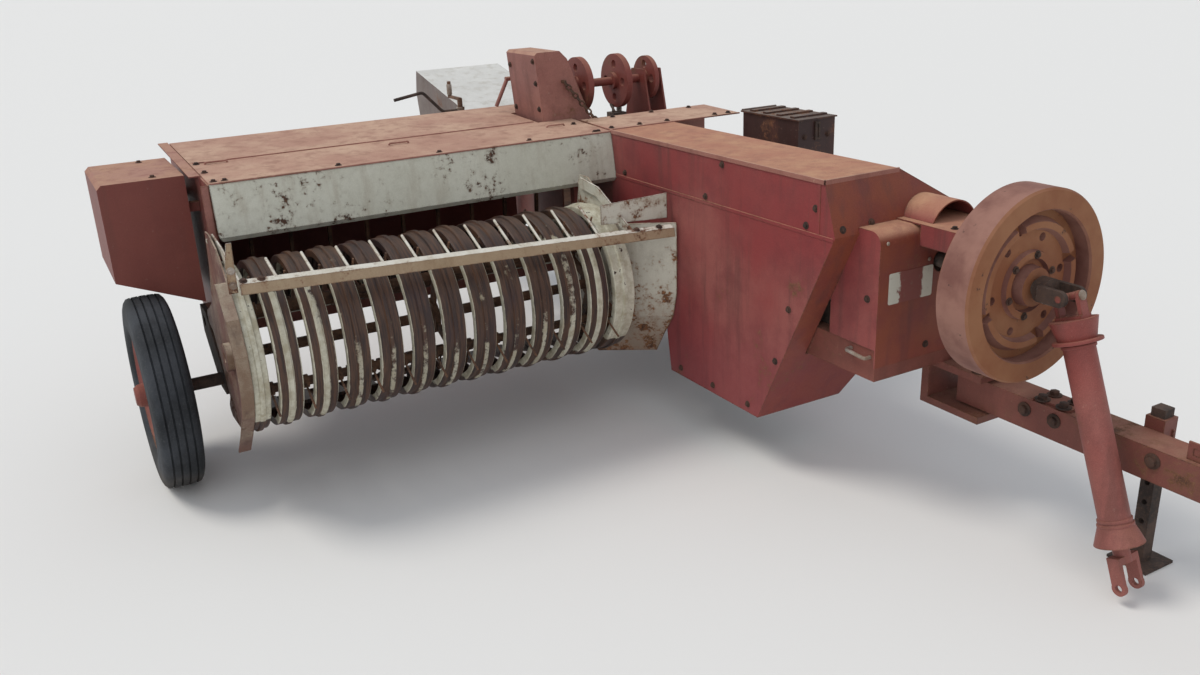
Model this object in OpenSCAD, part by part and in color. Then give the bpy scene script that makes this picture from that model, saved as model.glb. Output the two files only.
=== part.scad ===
// Square baler, parked on its two wheels and its stand.
// Z is up. The tongue and flywheel are at the front, towards -Y. The pickup is towards -X
// and the bale chamber towards +X. Places are measured from the right face of the crank
// housing (X), the front edge of the hood (Y) and the ground (Z). place() then moves the
// whole machine, so that the origin is the middle of its outline on the ground.

/* [Wheels] */
// Outer diameter of each tyre
tyre_d = 660; // [600:5:700]
// Width of each tyre
tyre_w = 140; // [120:5:160]
// Diameter of the rim where the tyre sits
rim_d = 381; // [360:1:400]
// Diameter of the spindles
spindle_d = 44; // [36:1:50]
// Distance of the right tyre's middle from the hood
wheel_out = 236; // [226:2:290]
// Middle of the left tyre
wheel_left_x = 672; // [660:5:720]
// Wheel line behind the front edge of the hood
wheel_y = 150; // [120:5:180]

/* [Frame] */
// Side of the square cross beam
beam_s = 100; // [80:5:110]
// Middle of the cross beam behind the front edge of the hood
beam_y = 330; // [320:5:360]
// Underside of the bale chamber, on top of the beam
floor_z = 540; // [520:5:560]
// Width of each long rail below the chamber
rail_w = 50; // [40:5:60]

/* [Bale chamber] */
// Width of the chamber over its side sheets
chamber_w = 460; // [440:5:480]
// Height of the chamber over its rails
chamber_h = 390; // [370:5:400]
// Rear end of the chamber
chamber_rear = 1850; // [1800:10:1950]
// Front end of the chamber inside the crank housing, ahead of the hood
chamber_front = 900; // [850:10:950]
// Thickness of the chamber's side sheets
side_t = 6; // [4:1:8]
// Leg width of the chamber's angle rails
angle_w = 60; // [50:5:70]
// Thickness of the angle rails
angle_t = 8; // [6:1:10]
// Start of the opening where the crop is fed in
feed_front = 190; // [180:5:220]
// Length of the feed opening
feed_len = 240; // [200:10:250]
// Length of the plunger
plunger_len = 420; // [360:10:460]
// Stroke of the plunger to the rear
plunger_stroke = 500; // [400:10:520]

/* [Hood] */
// Width of the hood over the feeder
hood_w = 1464; // [1400:2:1500]
// Depth of the hood from front to rear
hood_d = 754; // [720:2:790]
// Height of the hood's front edge
hood_z = 1030; // [1010:5:1060]
// Rise of the hood from front to rear
hood_rise = 30; // [0:2:50]
// Thickness of the sheet metal
sheet_t = 4; // [3:1:5]
// Height of the cream panel below the hood
cream_h = 170; // [140:5:200]
// Depth of the plate over the chamber
cap_plate_d = 250; // [200:10:300]

/* [Crank housing] */
// Length of the housing in front of the hood
housing_len = 1205; // [1180:5:1230]
// Width of its flat top at the front
housing_top_w = 326; // [300:2:350]
// Width of its flat top at the rear
housing_top_rear_w = 234; // [220:2:260]
// Height of the seam where the side turns vertical
seam_z = 875; // [860:5:900]
// How far the front leans out at the seam
seam_out = 50; // [30:5:70]
// Bottom of the housing
skirt_z = 190; // [160:5:220]
// Length of the skirt's bottom edge
skirt_len = 520; // [480:10:560]
// Front end of the skirt's bottom edge, ahead of the hood
skirt_front = 914; // [880:2:940]

/* [Gearbox] */
// Distance of the guard's right face from the housing's right face
guard_x = 88; // [70:2:110]
// Width of the guard
guard_w = 400; // [360:10:420]
// How far the guard stands in front of the housing
guard_out = 138; // [120:1:150]
// Bottom of the guard
guard_z = 484; // [470:2:500]
// Height of the guard
guard_h = 410; // [380:5:430]
// Diameter of the input shaft
input_d = 45; // [38:1:55]

/* [Flywheel and drive shaft] */
// Diameter of the flywheel
fly_d = 542; // [500:2:560]
// Depth of the flywheel's rim
fly_t = 110; // [90:2:120]
// Radial thickness of the rim
fly_rim = 60; // [50:2:70]
// Front face of the flywheel, ahead of the guard
fly_out = 340; // [330:1:350]
// Height of the flywheel's middle
fly_z = 774; // [760:2:790]
// Flywheel's middle from the housing's right face
fly_x = 335; // [325:1:345]
// Length of the hanging drive shaft
shaft_len = 775; // [740:5:780]
// Diameter of the shaft's shield tube
shaft_d = 82; // [70:2:86]
// Lean of the hanging shaft towards the front
shaft_lean = 21; // [18:0.5:25]

/* [Tongue] */
// Width of the tongue's box section
tongue_w = 100; // [80:2:110]
// Height of the tongue's box section
tongue_h = 95; // [80:1:100]
// Wall of the tongue
tongue_t = 6; // [4:1:8]
// Bottom face of the tongue
tongue_z = 315; // [310:1:320]
// Hitch pin, ahead of the hood
hitch_y = 3080; // [2900:10:3200]
// Radius of the hitch pin hole
hitch_r = 16; // [13:0.5:18]
// Stand, ahead of the hood
stand_y = 1950; // [1900:10:2000]
// Side of the stand's square leg
leg_s = 40; // [32:1:46]

/* [Pickup] */
// Number of stripper bands between the two end bands
band_n = 11; // [9:1:11]
// Width of a band
band_w = 72; // [64:1:76]
// Outer radius of the bands
band_r = 265; // [255:1:270]
// Middle of the bands' curve, in front of the hood
band_y = -200; // [-210:1:-190]
// Height of the middle of the bands' curve
band_z = 550; // [545:1:565]
// Radius of the tine tips about the reel's own axis
tine_r = 300; // [285:1:302]
// Diameter of a tine
tine_d = 7; // [6:0.5:8]
// Number of tine bars
bar_n = 4; // [3:1:5]
// How far the left plate flares out at its front edge
flare_w = 183; // [160:1:190]
// Depth of the wind guard's front bar
guard_bar = 38; // [32:1:44]
// Slope of the wind guard's bar, lower beside the chamber
guard_tilt = 2.7; // [0:0.1:3]

/* [Knotter] */
// Knotter shaft behind the hood's front edge
knot_y = 520; // [510:2:540]
// Height of the knotter shaft
knot_z = 1146; // [1140:2:1160]
// Radius of the knotter discs
knot_r = 112; // [100:1:115]
// Diameter of the knotter shaft
knot_d = 35; // [28:1:40]
// Radius of the needles about their pivot
needle_r = 430; // [420:1:440]

/* [Bale chute] */
// Length of the chute's floor
chute_len = 648; // [600:2:700]
// Height of the chute's side walls
chute_side = 250; // [240:2:260]
// Slope of the chute as it lies folded
chute_slope = 13; // [11:0.5:15]

/* [Twine box] */
// Length of the twine box
twine_len = 330; // [300:5:360]
// Width of the twine box
twine_w = 172; // [150:2:190]
// Height of the twine box
twine_h = 350; // [300:5:370]

/* [Hidden] */
$fn = 64;

// Clearances
run_c = 0.05;
seat_c = 0.3;
move_c = 5;

// Wheels
wheel_right_x = -hood_w - wheel_out;
tyre_r = tyre_d / 2;
rim_r = rim_d / 2;
hub_out = 88;
hub_r = 58;
spindle_z = tyre_r;

// Chamber
chamber_top_z = floor_z + chamber_h;
// Top of the side sheets inside the crank housing, below its sloping shoulder
sheet_low_z = chamber_top_z - 14;

// Housing
guard_front = housing_len + guard_out;
guard_top_z = guard_z + guard_h;
shoulder_z = chamber_top_z - 5;

// Flywheel and drive shaft, with the cross of the universal joint
fly_front = guard_front + fly_out;
fork_gap = 52;
yoke_hub_l = 35;
yoke_gap = 7;
cross_y = -fly_front - yoke_gap - yoke_hub_l - fork_gap;

// Tongue
tongue_x = fly_x + shaft_d / 2 + 39;
tongue_mid = tongue_x + tongue_w / 2;
tongue_top = tongue_z + tongue_h;
tongue_pivot_y = -guard_front - 77;
pivot_d = 30;
clevis_front = hitch_y + 45;

// Pickup
pivot_y = 130;
pivot_z = 560;
pickup_pin = 24;
// Inner faces of the right plate, of the left plate and of its flared front edge
pickup_left = -hood_w - 46;
flare_right = -12;
pickup_right = flare_right - flare_w;
plate_t = 5;
// The reel's axis is lower and further forward than the bands, so the tines draw in at the top
reel_y = band_y - 15;
reel_z = band_z - 20;
end_band_w = [50, 78];
band_pitch = (pickup_right - pickup_left - 255) / (band_n - 1);
band_x0 = pickup_left + 114;
band_flange = 24;
tail_angle = 30;
tail_len = 150;
band_end_angle = 285;
guard_pin = [-120, 880];
guard_pin_d = 16;
guard_y = -470;
guard_top = 839;

// Bale chute, with the rear edge of its floor behind and above its pivot
chute_pivot_y = chamber_rear + 150;
chute_pivot_z = chamber_top_z - 100;
chute_back = 50;
chute_up = 275;
chute_drop = 120;

// Twine box
twine_x = chamber_w + 60;
twine_y = -460;
twine_top = 1060;

// Metering wheel
meter_y = 1050;
meter_z = chamber_top_z + 106;

// Outline of the whole machine
x_min = wheel_right_x - hub_out;
x_max = wheel_left_x + hub_out;
y_min = -clevis_front;
y_max = chute_pivot_y + chute_back + chute_drop * sin(chute_slope);

module place() {
    translate([-(x_min + x_max) / 2, -(y_min + y_max) / 2, 0]) children();
}

// A box from its low and high side along each axis
module block(x, y, z) {
    translate([x[0], y[0], z[0]]) cube([x[1] - x[0], y[1] - y[0], z[1] - z[0]]);
}

// Round bars along each axis
module bar_x(x, y, z, d) {
    translate([x[0], y, z]) rotate([0, 90, 0]) cylinder(d = d, h = x[1] - x[0]);
}
module bar_y(x, y, z, d) {
    translate([x, y[1], z]) rotate([90, 0, 0]) cylinder(d = d, h = y[1] - y[0]);
}
module bar_z(x, y, z, d) {
    translate([x, y, z[0]]) cylinder(d = d, h = z[1] - z[0]);
}

// A Y-Z outline made into a plate across X
module plate_x(x) {
    translate([x[0], 0, 0]) rotate([90, 0, 90]) linear_extrude(x[1] - x[0]) children();
}

// An X-Z outline made into a plate across Y
module plate_y(y) {
    translate([0, y[1], 0]) rotate([90, 0, 0]) linear_extrude(y[1] - y[0]) children();
}

// A round bar between two points
module strut(a, b, d) {
    v = b - a;
    translate(a) rotate([0, acos(v[2] / norm(v)), atan2(v[1], v[0])]) cylinder(d = d, h = norm(v));
}

// Wheels

module spindle(side, x, beam_end) {
    arm_t = 16;
    arm = side > 0 ? [beam_end, beam_end + arm_t] : [beam_end - arm_t, beam_end];
    tip = x + side * (hub_out - 10);
    difference() {
        union() {
            plate_x(arm) polygon([[beam_y + beam_s / 2, floor_z], [beam_y - beam_s / 2, floor_z],
                [wheel_y - 45, spindle_z + 40], [wheel_y - 45, spindle_z - 45],
                [wheel_y + 45, spindle_z - 45], [beam_y + beam_s / 2, floor_z - beam_s]]);
            bar_x([min(arm[0], tip), max(arm[1], tip)], wheel_y, spindle_z, spindle_d);
        }
        bar_x([beam_end - 40, beam_end + 40], beam_y, floor_z - beam_s / 2, 40);
    }
}

module right_spindle() {
    color("dimgray") place() spindle(-1, wheel_right_x, -hood_w - 26);
}

module left_spindle() {
    color("dimgray") place() spindle(1, wheel_left_x, chamber_w + 100);
}

// Disc wheel, dished outwards, with its hub
module rim(side, x) {
    w = tyre_w * 0.38;
    disc_t = 8;
    translate([x, wheel_y, spindle_z]) rotate([0, 90 * side, 0]) difference() {
        rotate_extrude() polygon([[spindle_d / 2 + run_c, -58], [hub_r - 8, -58], [hub_r, -50], [hub_r, 10],
            [rim_r - 70, 14], [rim_r - 40, 26], [rim_r - 14, 6], [rim_r - 14, -w + 16], [rim_r + 6, -w + 4],
            [rim_r + 14, -w - 2], [rim_r + 14, -w + 4], [rim_r - seat_c, -w + 14], [rim_r - seat_c, w - 14],
            [rim_r + 14, w - 4], [rim_r + 14, w + 2], [rim_r + 6, w - 4], [rim_r - 14, w - 16],
            [rim_r - 14, 16], [rim_r - 38, 36], [rim_r - 72, 14 + disc_t], [hub_r + 6, 10 + disc_t],
            [hub_r - 12, 22], [hub_r - 20, hub_out - 12], [hub_r - 28, hub_out], [0, hub_out],
            [0, hub_out - 8], [spindle_d / 2 + run_c, hub_out - 8]]);
        for (k = [0:4]) rotate(k * 72 + 20) translate([rim_r - 56, 0, 0]) cylinder(d = 26, h = 60, $fn = 32);
    }
}

// Tyre with three grooves round its tread
module tyre(x) {
    mid = (tyre_r + rim_r) / 2;
    half = (tyre_r - rim_r) / 2;
    bead_w = tyre_w * 0.38 - 2;
    translate([x, wheel_y, spindle_z]) rotate([0, 90, 0]) difference() {
        rotate_extrude($fn = 60) polygon(concat(
            [[rim_r, -bead_w + 14], [rim_r, bead_w - 14], [rim_r + 16, bead_w - 2]],
            [for (a = [-40:32:88]) [mid + half * sin(a), pow(cos(a), 0.5) * tyre_w / 2]],
            [for (a = [88:-32:-40]) [mid + half * sin(a), -pow(cos(a), 0.5) * tyre_w / 2]],
            [[rim_r + 16, -bead_w + 2]]));
        for (g = [-26, 0, 26]) translate([0, 0, g - 3]) rotate_extrude($fn = 60)
            translate([tyre_r - 9, 0]) square([20, 6]);
    }
}

module right_rim() {
    color("firebrick") place() rim(-1, wheel_right_x);
}
module left_rim() {
    color("firebrick") place() rim(1, wheel_left_x);
}
module right_tyre() {
    color([0.13, 0.13, 0.13]) place() tyre(wheel_right_x);
}
module left_tyre() {
    color([0.13, 0.13, 0.13]) place() tyre(wheel_left_x);
}

// Frame

module main_frame() {
    rail_z = [floor_z - beam_s, floor_z];
    beam_x = [-hood_w - 26, chamber_w + 100];
    rail_front = -guard_front + sheet_t + seat_c;
    plate_h = 23;
    lower_z = tongue_z - move_c - 2 - plate_h;
    pivot_x = [tongue_x - 40, tongue_x + tongue_w + 40];
    right_rail = [20, 20 + rail_w];
    left_rail = [chamber_w - 20 - rail_w, chamber_w - 20];
    guard_rail = [guard_x + 5, guard_x + 5 + rail_w];
    bracket_rear = -guard_front + 83;
    color([0.45, 0.2, 0.17]) place() {
        difference() {
            union() {
                block(beam_x, [beam_y - beam_s / 2, beam_y + beam_s / 2], rail_z);
                block(right_rail, [skirt_y(rail_z[0]) + 16, 450], rail_z);
                block(left_rail, [rail_front, 450], rail_z);
                block(guard_rail, [rail_front, -600], rail_z);
                block([guard_rail[0], left_rail[1]], [rail_front, rail_front + 60], rail_z);
                block([right_rail[0], left_rail[1]], [-640, -580], rail_z);
                // Tongue bracket with its two plates and the web behind them
                block(pivot_x, [tongue_pivot_y - 70, bracket_rear], [tongue_top + 7, floor_z - beam_s]);
                block(pivot_x, [tongue_pivot_y - 70, bracket_rear], [lower_z, lower_z + plate_h]);
                block(pivot_x, [bracket_rear - 30, bracket_rear], [lower_z, floor_z - beam_s]);
                block([left_rail[0], pivot_x[1]], [rail_front, bracket_rear + 60], rail_z);
            }
            // Hollow of the beam, open at both ends
            block([beam_x[0] - 1, beam_x[1] + 1], [beam_y - beam_s / 2 + 8, beam_y + beam_s / 2 - 8],
                [rail_z[0] + 8, rail_z[1] - 8]);
        }
        bar_z(tongue_mid, tongue_pivot_y, [lower_z - 12, tongue_top + 40], pivot_d);
        bar_z(tongue_mid, tongue_pivot_y, [lower_z - 20, lower_z], pivot_d + 16);
    }
}

// Bale chamber

// The two side sheets, the right one open where the crop is fed in
module chamber_sides() {
    color("firebrick") place() {
        difference() {
            plate_x([0, side_t]) difference() {
                side_outline();
                translate([feed_front, floor_z + 12]) square([feed_len, chamber_h - 60]);
            }
            bar_x([-1, side_t + 1], 860, 720, 30);
        }
        plate_x([chamber_w - side_t, chamber_w]) side_outline();
        for (x = [[-16, side_t], [chamber_w - side_t, chamber_w + 16]])
            bar_x(x, chute_pivot_y, chute_pivot_z, 24);
        bar_x([pickup_right + 1, side_t], pivot_y, pivot_z, pickup_pin);
        bar_x([-60, side_t], 860, 720, 36);
        bar_x([chamber_w - side_t, chamber_w + 60], 860, 720, 36);
    }
}

// One side sheet with two long windows and the ear for the chute
module side_outline() {
    tail = 1000;
    difference() {
        union() {
            translate([-chamber_front, floor_z])
                square([chamber_front + chamber_rear, sheet_low_z - floor_z]);
            translate([0, floor_z]) square([chamber_rear, chamber_h]);
            translate([chamber_rear - 60, chute_pivot_z - 60]) square([60 + 150, 120]);
            translate([chute_pivot_y, chute_pivot_z]) circle(60);
        }
        for (w = [[tail, 340], [tail + 420, 340]]) translate([w[0], floor_z + 90]) square([w[1], 70]);
        for (w = [[tail, 340], [tail + 420, 340]]) translate([w[0], floor_z + 230]) square([w[1], 70]);
    }
}

module chamber_floor() {
    color([0.4, 0.19, 0.15]) place() difference() {
        block([side_t, chamber_w - side_t], [-chamber_front, chamber_rear], [floor_z, floor_z + side_t]);
        for (x = needle_x) block([x - 12, x + 12], [380, 620], [floor_z - 1, floor_z + side_t + 1]);
    }
}

// Angle rails along the top with the cross ties that carry the knotter
module chamber_top() {
    z = chamber_top_z;
    rear = [cap_plate_d, chamber_rear];
    color([0.42, 0.2, 0.16]) place() {
        for (y = [rear]) {
            block([side_t, angle_w], y, [z - angle_t, z]);
            block([chamber_w - angle_w, chamber_w - side_t], y, [z - angle_t, z]);
            block([chamber_w / 2 - 35, chamber_w / 2 + 35], y, [z - angle_t, z]);
            block([chamber_w / 2 - 4, chamber_w / 2 + 4], [480, y[1]], [z - 40, z]);
        }
        for (y = [400, 630, 760, 1200, 1500, 1800])
            block([side_t, chamber_w - side_t], [y - 20, y + 20], [z, z + 8]);
        // Ears and pin of the metering wheel
        for (x = [150, 246]) plate_x([x, x + 6]) polygon([[meter_y - 40, z], [meter_y + 40, z],
            [meter_y + 16, meter_z + 16], [meter_y - 16, meter_z + 16]]);
        for (y = [meter_y - 45, meter_y + 25]) block([side_t, chamber_w - side_t], [y, y + 20], [z, z + 8]);
        bar_x([150, 252], meter_y, meter_z, 20);
        // Rest for the folded chute
        block([side_t + 40, chamber_w - side_t - 40], [1430, 1470], [z, chute_rest_z(1430) - seat_c]);
    }
}

module plunger() {
    x = [side_t + move_c, chamber_w - side_t - move_c];
    face = feed_front + feed_len + 30 - plunger_stroke;
    y = [face - plunger_len, face];
    z = [floor_z + side_t + seat_c, sheet_low_z];
    color("slategray") place() difference() {
        union() {
            block(x, [y[1] - 30, y[1]], z);
            block(x, [y[0], y[0] + 20], z);
            for (zz = [z[0], z[1] - 40]) block(x, y, [zz, zz + 40]);
            block([x[0], x[0] + 30], y, z);
            block([x[1] - 30, x[1]], y, z);
            bar_x(x, (y[0] + y[1]) / 2, (z[0] + z[1]) / 2, 70);
        }
        for (n = needle_x) block([n - 14, n + 14], [y[1] - 120, y[1] + 1], [z[0] - 1, z[1] + 1]);
    }
}

// Hood and feeder

function roof_z(y) = hood_z + hood_rise * y / hood_d;

module hood_roof() {
    t = sheet_t;
    color([0.66, 0.36, 0.33]) place() {
        difference() {
            plate_x([-hood_w, 0]) polygon([[0, hood_z], [hood_d, roof_z(hood_d)],
                [hood_d, roof_z(hood_d) - 40], [hood_d - t, roof_z(hood_d) - 40],
                [hood_d - t, roof_z(hood_d - t) - t], [t, hood_z - t], [t, hood_z - 24], [0, hood_z - 24]]);
            block([shield_x[0] - seat_c, 1], [shield_y[0] - seat_c, shield_y[1] + seat_c],
                [hood_z - 60, hood_z + 60]);
        }
        // Plate over the chamber beside the hood
        plate_x([0, chamber_w + 140]) polygon([[seat_c, hood_z + 6], [cap_plate_d, hood_z + 14],
            [cap_plate_d, chamber_top_z], [cap_plate_d - t, chamber_top_z], [cap_plate_d - t, hood_z + 10],
            [seat_c, hood_z + 2]]);
        // Lengthwise crease
        block([-hood_w + 10, shield_x[0] - 12], [330, 342], [roof_z(330) - 2, roof_z(330) + 4]);
    }
}

// Cream panel below the hood's front edge, folded back along its lower lip
module hood_front_panel() {
    t = sheet_t;
    color([0.85, 0.82, 0.72]) place() difference() {
        plate_x([-hood_w - 2, -t - seat_c]) polygon([[-seat_c, hood_z - 1], [-seat_c - t, hood_z - 1],
            [-34, hood_z - cream_h], [-18, hood_z - cream_h - 16], [10, hood_z - cream_h - 16],
            [10, hood_z - cream_h - 16 + t], [-17, hood_z - cream_h - 16 + t],
            [-30, hood_z - cream_h + 2]]);
        translate([-hood_w - 3, 0, hood_z - cream_h - 30]) rotate([90, 0, 0])
            linear_extrude(80, center = true) difference() {
                square([46, 46]);
                translate([46, 46]) circle(45);
            }
    }
}

// Right end of the feeder, with its rolled top flange and the arm to the pickup's pivot
module feeder_end_wall() {
    t = 6;
    x = [-hood_w - t, -hood_w];
    color("firebrick") place() {
        difference() {
            plate_x(x) polygon([[0, hood_z - 4], [hood_d, roof_z(hood_d) - 4], [hood_d, floor_z],
                [beam_y + beam_s / 2, floor_z - beam_s], [beam_y - beam_s / 2, floor_z - beam_s],
                [pivot_y - 60, pivot_z - 40], [pivot_y - 60, pivot_z + 60], [-10, hood_z - cream_h - 30]]);
            block([x[0] - 1, x[1] + 1], [beam_y - beam_s / 2, beam_y + beam_s / 2],
                [floor_z - beam_s, floor_z]);
        }
        bar_x([pickup_left - plate_t + 1, x[1]], pivot_y, pivot_z, pickup_pin);
        plate_x([x[0] - 34, x[0]]) polygon([[120, roof_z(120) + 4], [hood_d, roof_z(hood_d) + 4],
            [hood_d, roof_z(hood_d)], [120, roof_z(120)]]);
        plate_x([x[0] - 4, x[0]]) polygon([[120, roof_z(120) + 4], [hood_d, roof_z(hood_d) + 4],
            [hood_d, roof_z(hood_d) - 40], [120, roof_z(120) - 40]]);
    }
}

// Floor of the feeder and the sheet behind it
module feeder_pan() {
    t = sheet_t;
    pan_y = [pivot_y + 36, hood_d - t - seat_c];
    color([0.45, 0.22, 0.18]) place() {
        difference() {
            block([-hood_w, 0], pan_y, [floor_z, floor_z + t]);
            block([-70, 1], [feed_front + feed_len + 20, pan_y[1] + 1], [floor_z - 1, floor_z + t + 1]);
        }
        difference() {
            plate_x([-hood_w, -70]) polygon([[pan_y[1] - t, floor_z], [pan_y[1], floor_z],
                [pan_y[1], roof_z(hood_d) - t - 2], [pan_y[1] - t, roof_z(hood_d) - t - 2]]);
            block([-330, -180], [pan_y[1] - t - 1, pan_y[1] + 1], [floor_z + 150, floor_z + 260]);
        }
        // Post beside the feed opening
        block([-150, -120], [40, 70], [pivot_z + 200, roof_z(40) - t - seat_c]);
    }
}

// Slide bar under the hood with its packer fingers
module feeder_fingers() {
    bar_z0 = hood_z - 120;
    fingers = [for (k = [0:8]) -hood_w + 150 + k * 140];
    color([0.3, 0.2, 0.17]) place() {
        block([-hood_w, -8], [300, 350], [bar_z0, bar_z0 + 50]);
        for (x = fingers) plate_x([x - 6, x + 6]) polygon([[300, bar_z0 + 45], [286, bar_z0 + 45],
            [272, bar_z0 - 120], [290, floor_z + 60], [300, floor_z + 60], [288, bar_z0 - 118],
            [300, bar_z0]]);
        for (x = [-hood_w + 60, shield_x[0] - 40])
            block([x - 15, x + 15], [310, 340], [bar_z0 + 50, roof_z(310) - sheet_t - 1]);
    }
}

// Closed box over the feeder drive, outboard of the end wall
module drive_shield() {
    t = sheet_t;
    x = [-hood_w - 310, -hood_w - 44];
    y = [190, 600];
    top = hood_z + 4;
    color("firebrick") place() {
        difference() {
            plate_y(y) shield_outline(x, top, 0);
            plate_y([y[0] + t, y[1] - t]) shield_outline(x, top, t);
        }
        // Brackets that hold it on the end wall
        for (b = [y[0] + 40, y[1] - 70]) block([x[1] - 1, -hood_w - 6], [b, b + 30], [top - 130, top - 100]);
    }
}

module shield_outline(x, top, inset) {
    polygon([[x[0] + inset, top - 14 - inset], [x[0] + 14 + inset, top - inset],
        [x[1] - inset, top - inset], [x[1] - inset, 600 - 20 * inset], [x[0] + inset, 712 - 20 * inset]]);
}

// Crank housing

// Side outline, moved in by the wall and let through the bottom where it hollows the housing
function skirt_y(z) = -skirt_front
    - (housing_len + seam_out - skirt_front) * (z - skirt_z) / (seam_z - skirt_z);
function housing_side(i) = [[0, hood_z + 4 - i], [-housing_len + i, hood_z + 4 - i],
    [-housing_len - seam_out + i, seam_z], [skirt_y(skirt_z - 5 * i) + i, skirt_z - 5 * i],
    [-skirt_front + skirt_len - i, skirt_z - 5 * i],
    [-skirt_front + skirt_len + 40 - i, floor_z - beam_s - i], [0, floor_z - beam_s - i]];

module crank_housing() {
    t = sheet_t;
    color([0.7, 0.2, 0.16]) place() difference() {
        intersection() {
            plate_x([-t, chamber_w + t]) polygon(housing_side(0));
            housing_plan(0);
        }
        intersection() {
            plate_x([0, chamber_w]) polygon(housing_side(t));
            housing_plan(t);
        }
        // Open to the chamber behind it and to the gearbox guard in front
        block([0, chamber_w], [-60, 1], [floor_z - beam_s - 1, shoulder_z]);
        block([guard_x, chamber_w - 16], [-housing_len - 80, -housing_len + 260],
            [floor_z - beam_s - 4, seam_z - 40]);
    }
}

// Cross-section with the sloping left shoulder and the lower taper
module housing_plan(i) {
    top = hood_z + 4 - i;
    rear = [[-4 + i, skirt_z - 100], [-4 + i, top], [housing_top_rear_w, top],
        [chamber_w + 4 - i, shoulder_z], [chamber_w + 4 - i, 420], [300 - i, skirt_z - 100]];
    plate_y([-housing_len - seam_out - 1, 1]) polygon(
        [[rear[0][0], rear[0][1]], [rear[1][0], rear[1][1]], [(housing_top_w + housing_top_rear_w) / 2, top],
        [rear[3][0], rear[3][1]], [rear[4][0], rear[4][1]], [rear[5][0], rear[5][1]]]);
}

module gearbox_guard() {
    t = sheet_t;
    x = [guard_x, guard_x + guard_w];
    y = [-guard_front, -housing_len + 60];
    r = 40;
    color([0.68, 0.22, 0.17]) place() difference() {
        plate_x(x) guard_outline(y, r, 0);
        plate_x([x[0] + t, x[1] - t]) guard_outline(y, r - t, t);
        bar_y(fly_x, [y[0] - 1, y[0] + t + 1], fly_z, input_d + 24);
        plate_x([x[0] - 1, x[1] + 1]) before_housing();
        block([x[0] - 1, x[1] + 1], [y[0] + t, y[1] + 1], [guard_z - 1, floor_z + seat_c]);
    }
}

// Outline of the housing's front with a small gap, cut from what ends there
module before_housing() {
    polygon([for (p = housing_side(0)) [p[0] - (p[0] < -skirt_front ? seat_c : 0), p[1]]]);
}

module guard_outline(y, r, inset) {
    difference() {
        translate([y[0] + inset, guard_z - inset * 2]) square([y[1] - y[0], guard_h + inset]);
        translate([y[0] + inset, guard_top_z - inset - r]) difference() {
            translate([-1, 0]) square(r + 2);
            translate([r, 0]) circle(r);
        }
    }
}

// Gearbox behind the guard with its input shaft
module gearbox() {
    x = [140, chamber_w - 40];
    y = [-guard_front + 43, -guard_front + 383];
    z = [floor_z, seam_z - 50];
    color("gray") place() {
        block(x, y, z);
        bar_y(fly_x, [cross_y + fork_gap + 4, y[0] + 10], fly_z, input_d);
        bar_y(fly_x, [y[0] - 25, y[0] + 1], fly_z, input_d + 50);
        bar_x([x[0] - 40, x[1] + 20], y[0] + 220, 700, 150);
    }
}

// Rounded cover and flat plate over the drive between the housing and the flywheel
module gearbox_top_covers() {
    x = [guard_x + 150, guard_x + 380];
    y = [-guard_front - 130, -housing_len];
    z = guard_top_z + seat_c;
    t = sheet_t;
    color([0.66, 0.25, 0.2]) place() difference() {
        union() {
            block(x, y, [z, z + t]);
            for (w = [[x[0], x[0] + t], [x[1] - t, x[1]]])
                block(w, [y[0], -guard_front - seat_c], [z - 60, z + t]);
            difference() {
                bar_y((x[0] + x[1]) / 2, [-guard_front - 20, y[1]], z - 34, 190);
                bar_y((x[0] + x[1]) / 2, [-guard_front - 21, y[1] + 1], z - 34, 190 - 2 * t);
                block([x[0] - 50, x[1] + 50], [y[0], y[1] + 2], [z - 200, z + 1]);
            }
        }
        plate_x([x[0] - 1, x[1] + 1]) before_housing();
    }
}

// Flywheel and drive shaft

module flywheel() {
    r = fly_d / 2;
    f = fly_t;
    inner = r - fly_rim;
    color([0.62, 0.27, 0.18]) place() translate([fly_x, -fly_front + f, fly_z]) rotate([90, 0, 0])
    difference() {
        rotate_extrude($fn = 96) polygon([[input_d / 2 + run_c, 20], [60, 20], [60, 40], [inner, 40],
            [inner, 0], [r - 6, 0], [r, 6], [r, f - 6], [r - 6, f], [inner + 4, f], [inner, f - 6], [inner, 62],
            [inner - 22, 62], [inner - 34, f - 22], [inner - 52, f - 22], [inner - 60, 70], [98, 70],
            [94, 84], [76, 84], [72, 70], [58, 70], [54, f - 8], [input_d / 2 + run_c, f - 8]]);
        for (k = [0:3]) rotate(k * 90 + 20) translate([inner - 64, -14, 62]) cube([44, 28, f]);
        for (k = [0:5]) rotate(k * 60 + 10) translate([134, 0, 30]) cylinder(d = 24, h = 80, $fn = 24);
    }
}

// Forked yoke on the input shaft
module input_yoke() {
    root = cross_y + fork_gap;
    color([0.35, 0.2, 0.16]) place() difference() {
        union() {
            bar_y(fly_x, [root, root + yoke_hub_l], fly_z, 72);
            block([fly_x - 44, fly_x + 44], [root, root + 14], [fly_z - 22, fly_z + 22]);
            for (s = [[-44, -30], [30, 44]]) {
                block([fly_x + s[0], fly_x + s[1]], [cross_y, root + 1], [fly_z - 22, fly_z + 22]);
                bar_x([fly_x + s[0], fly_x + s[1]], cross_y, fly_z, 44);
            }
        }
        bar_y(fly_x, [root + 4 - run_c, root + yoke_hub_l + 1], fly_z, input_d + 2 * run_c);
        bar_x([fly_x - 50, fly_x + 50], cross_y, fly_z, 20 + 2 * run_c);
    }
}

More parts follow.
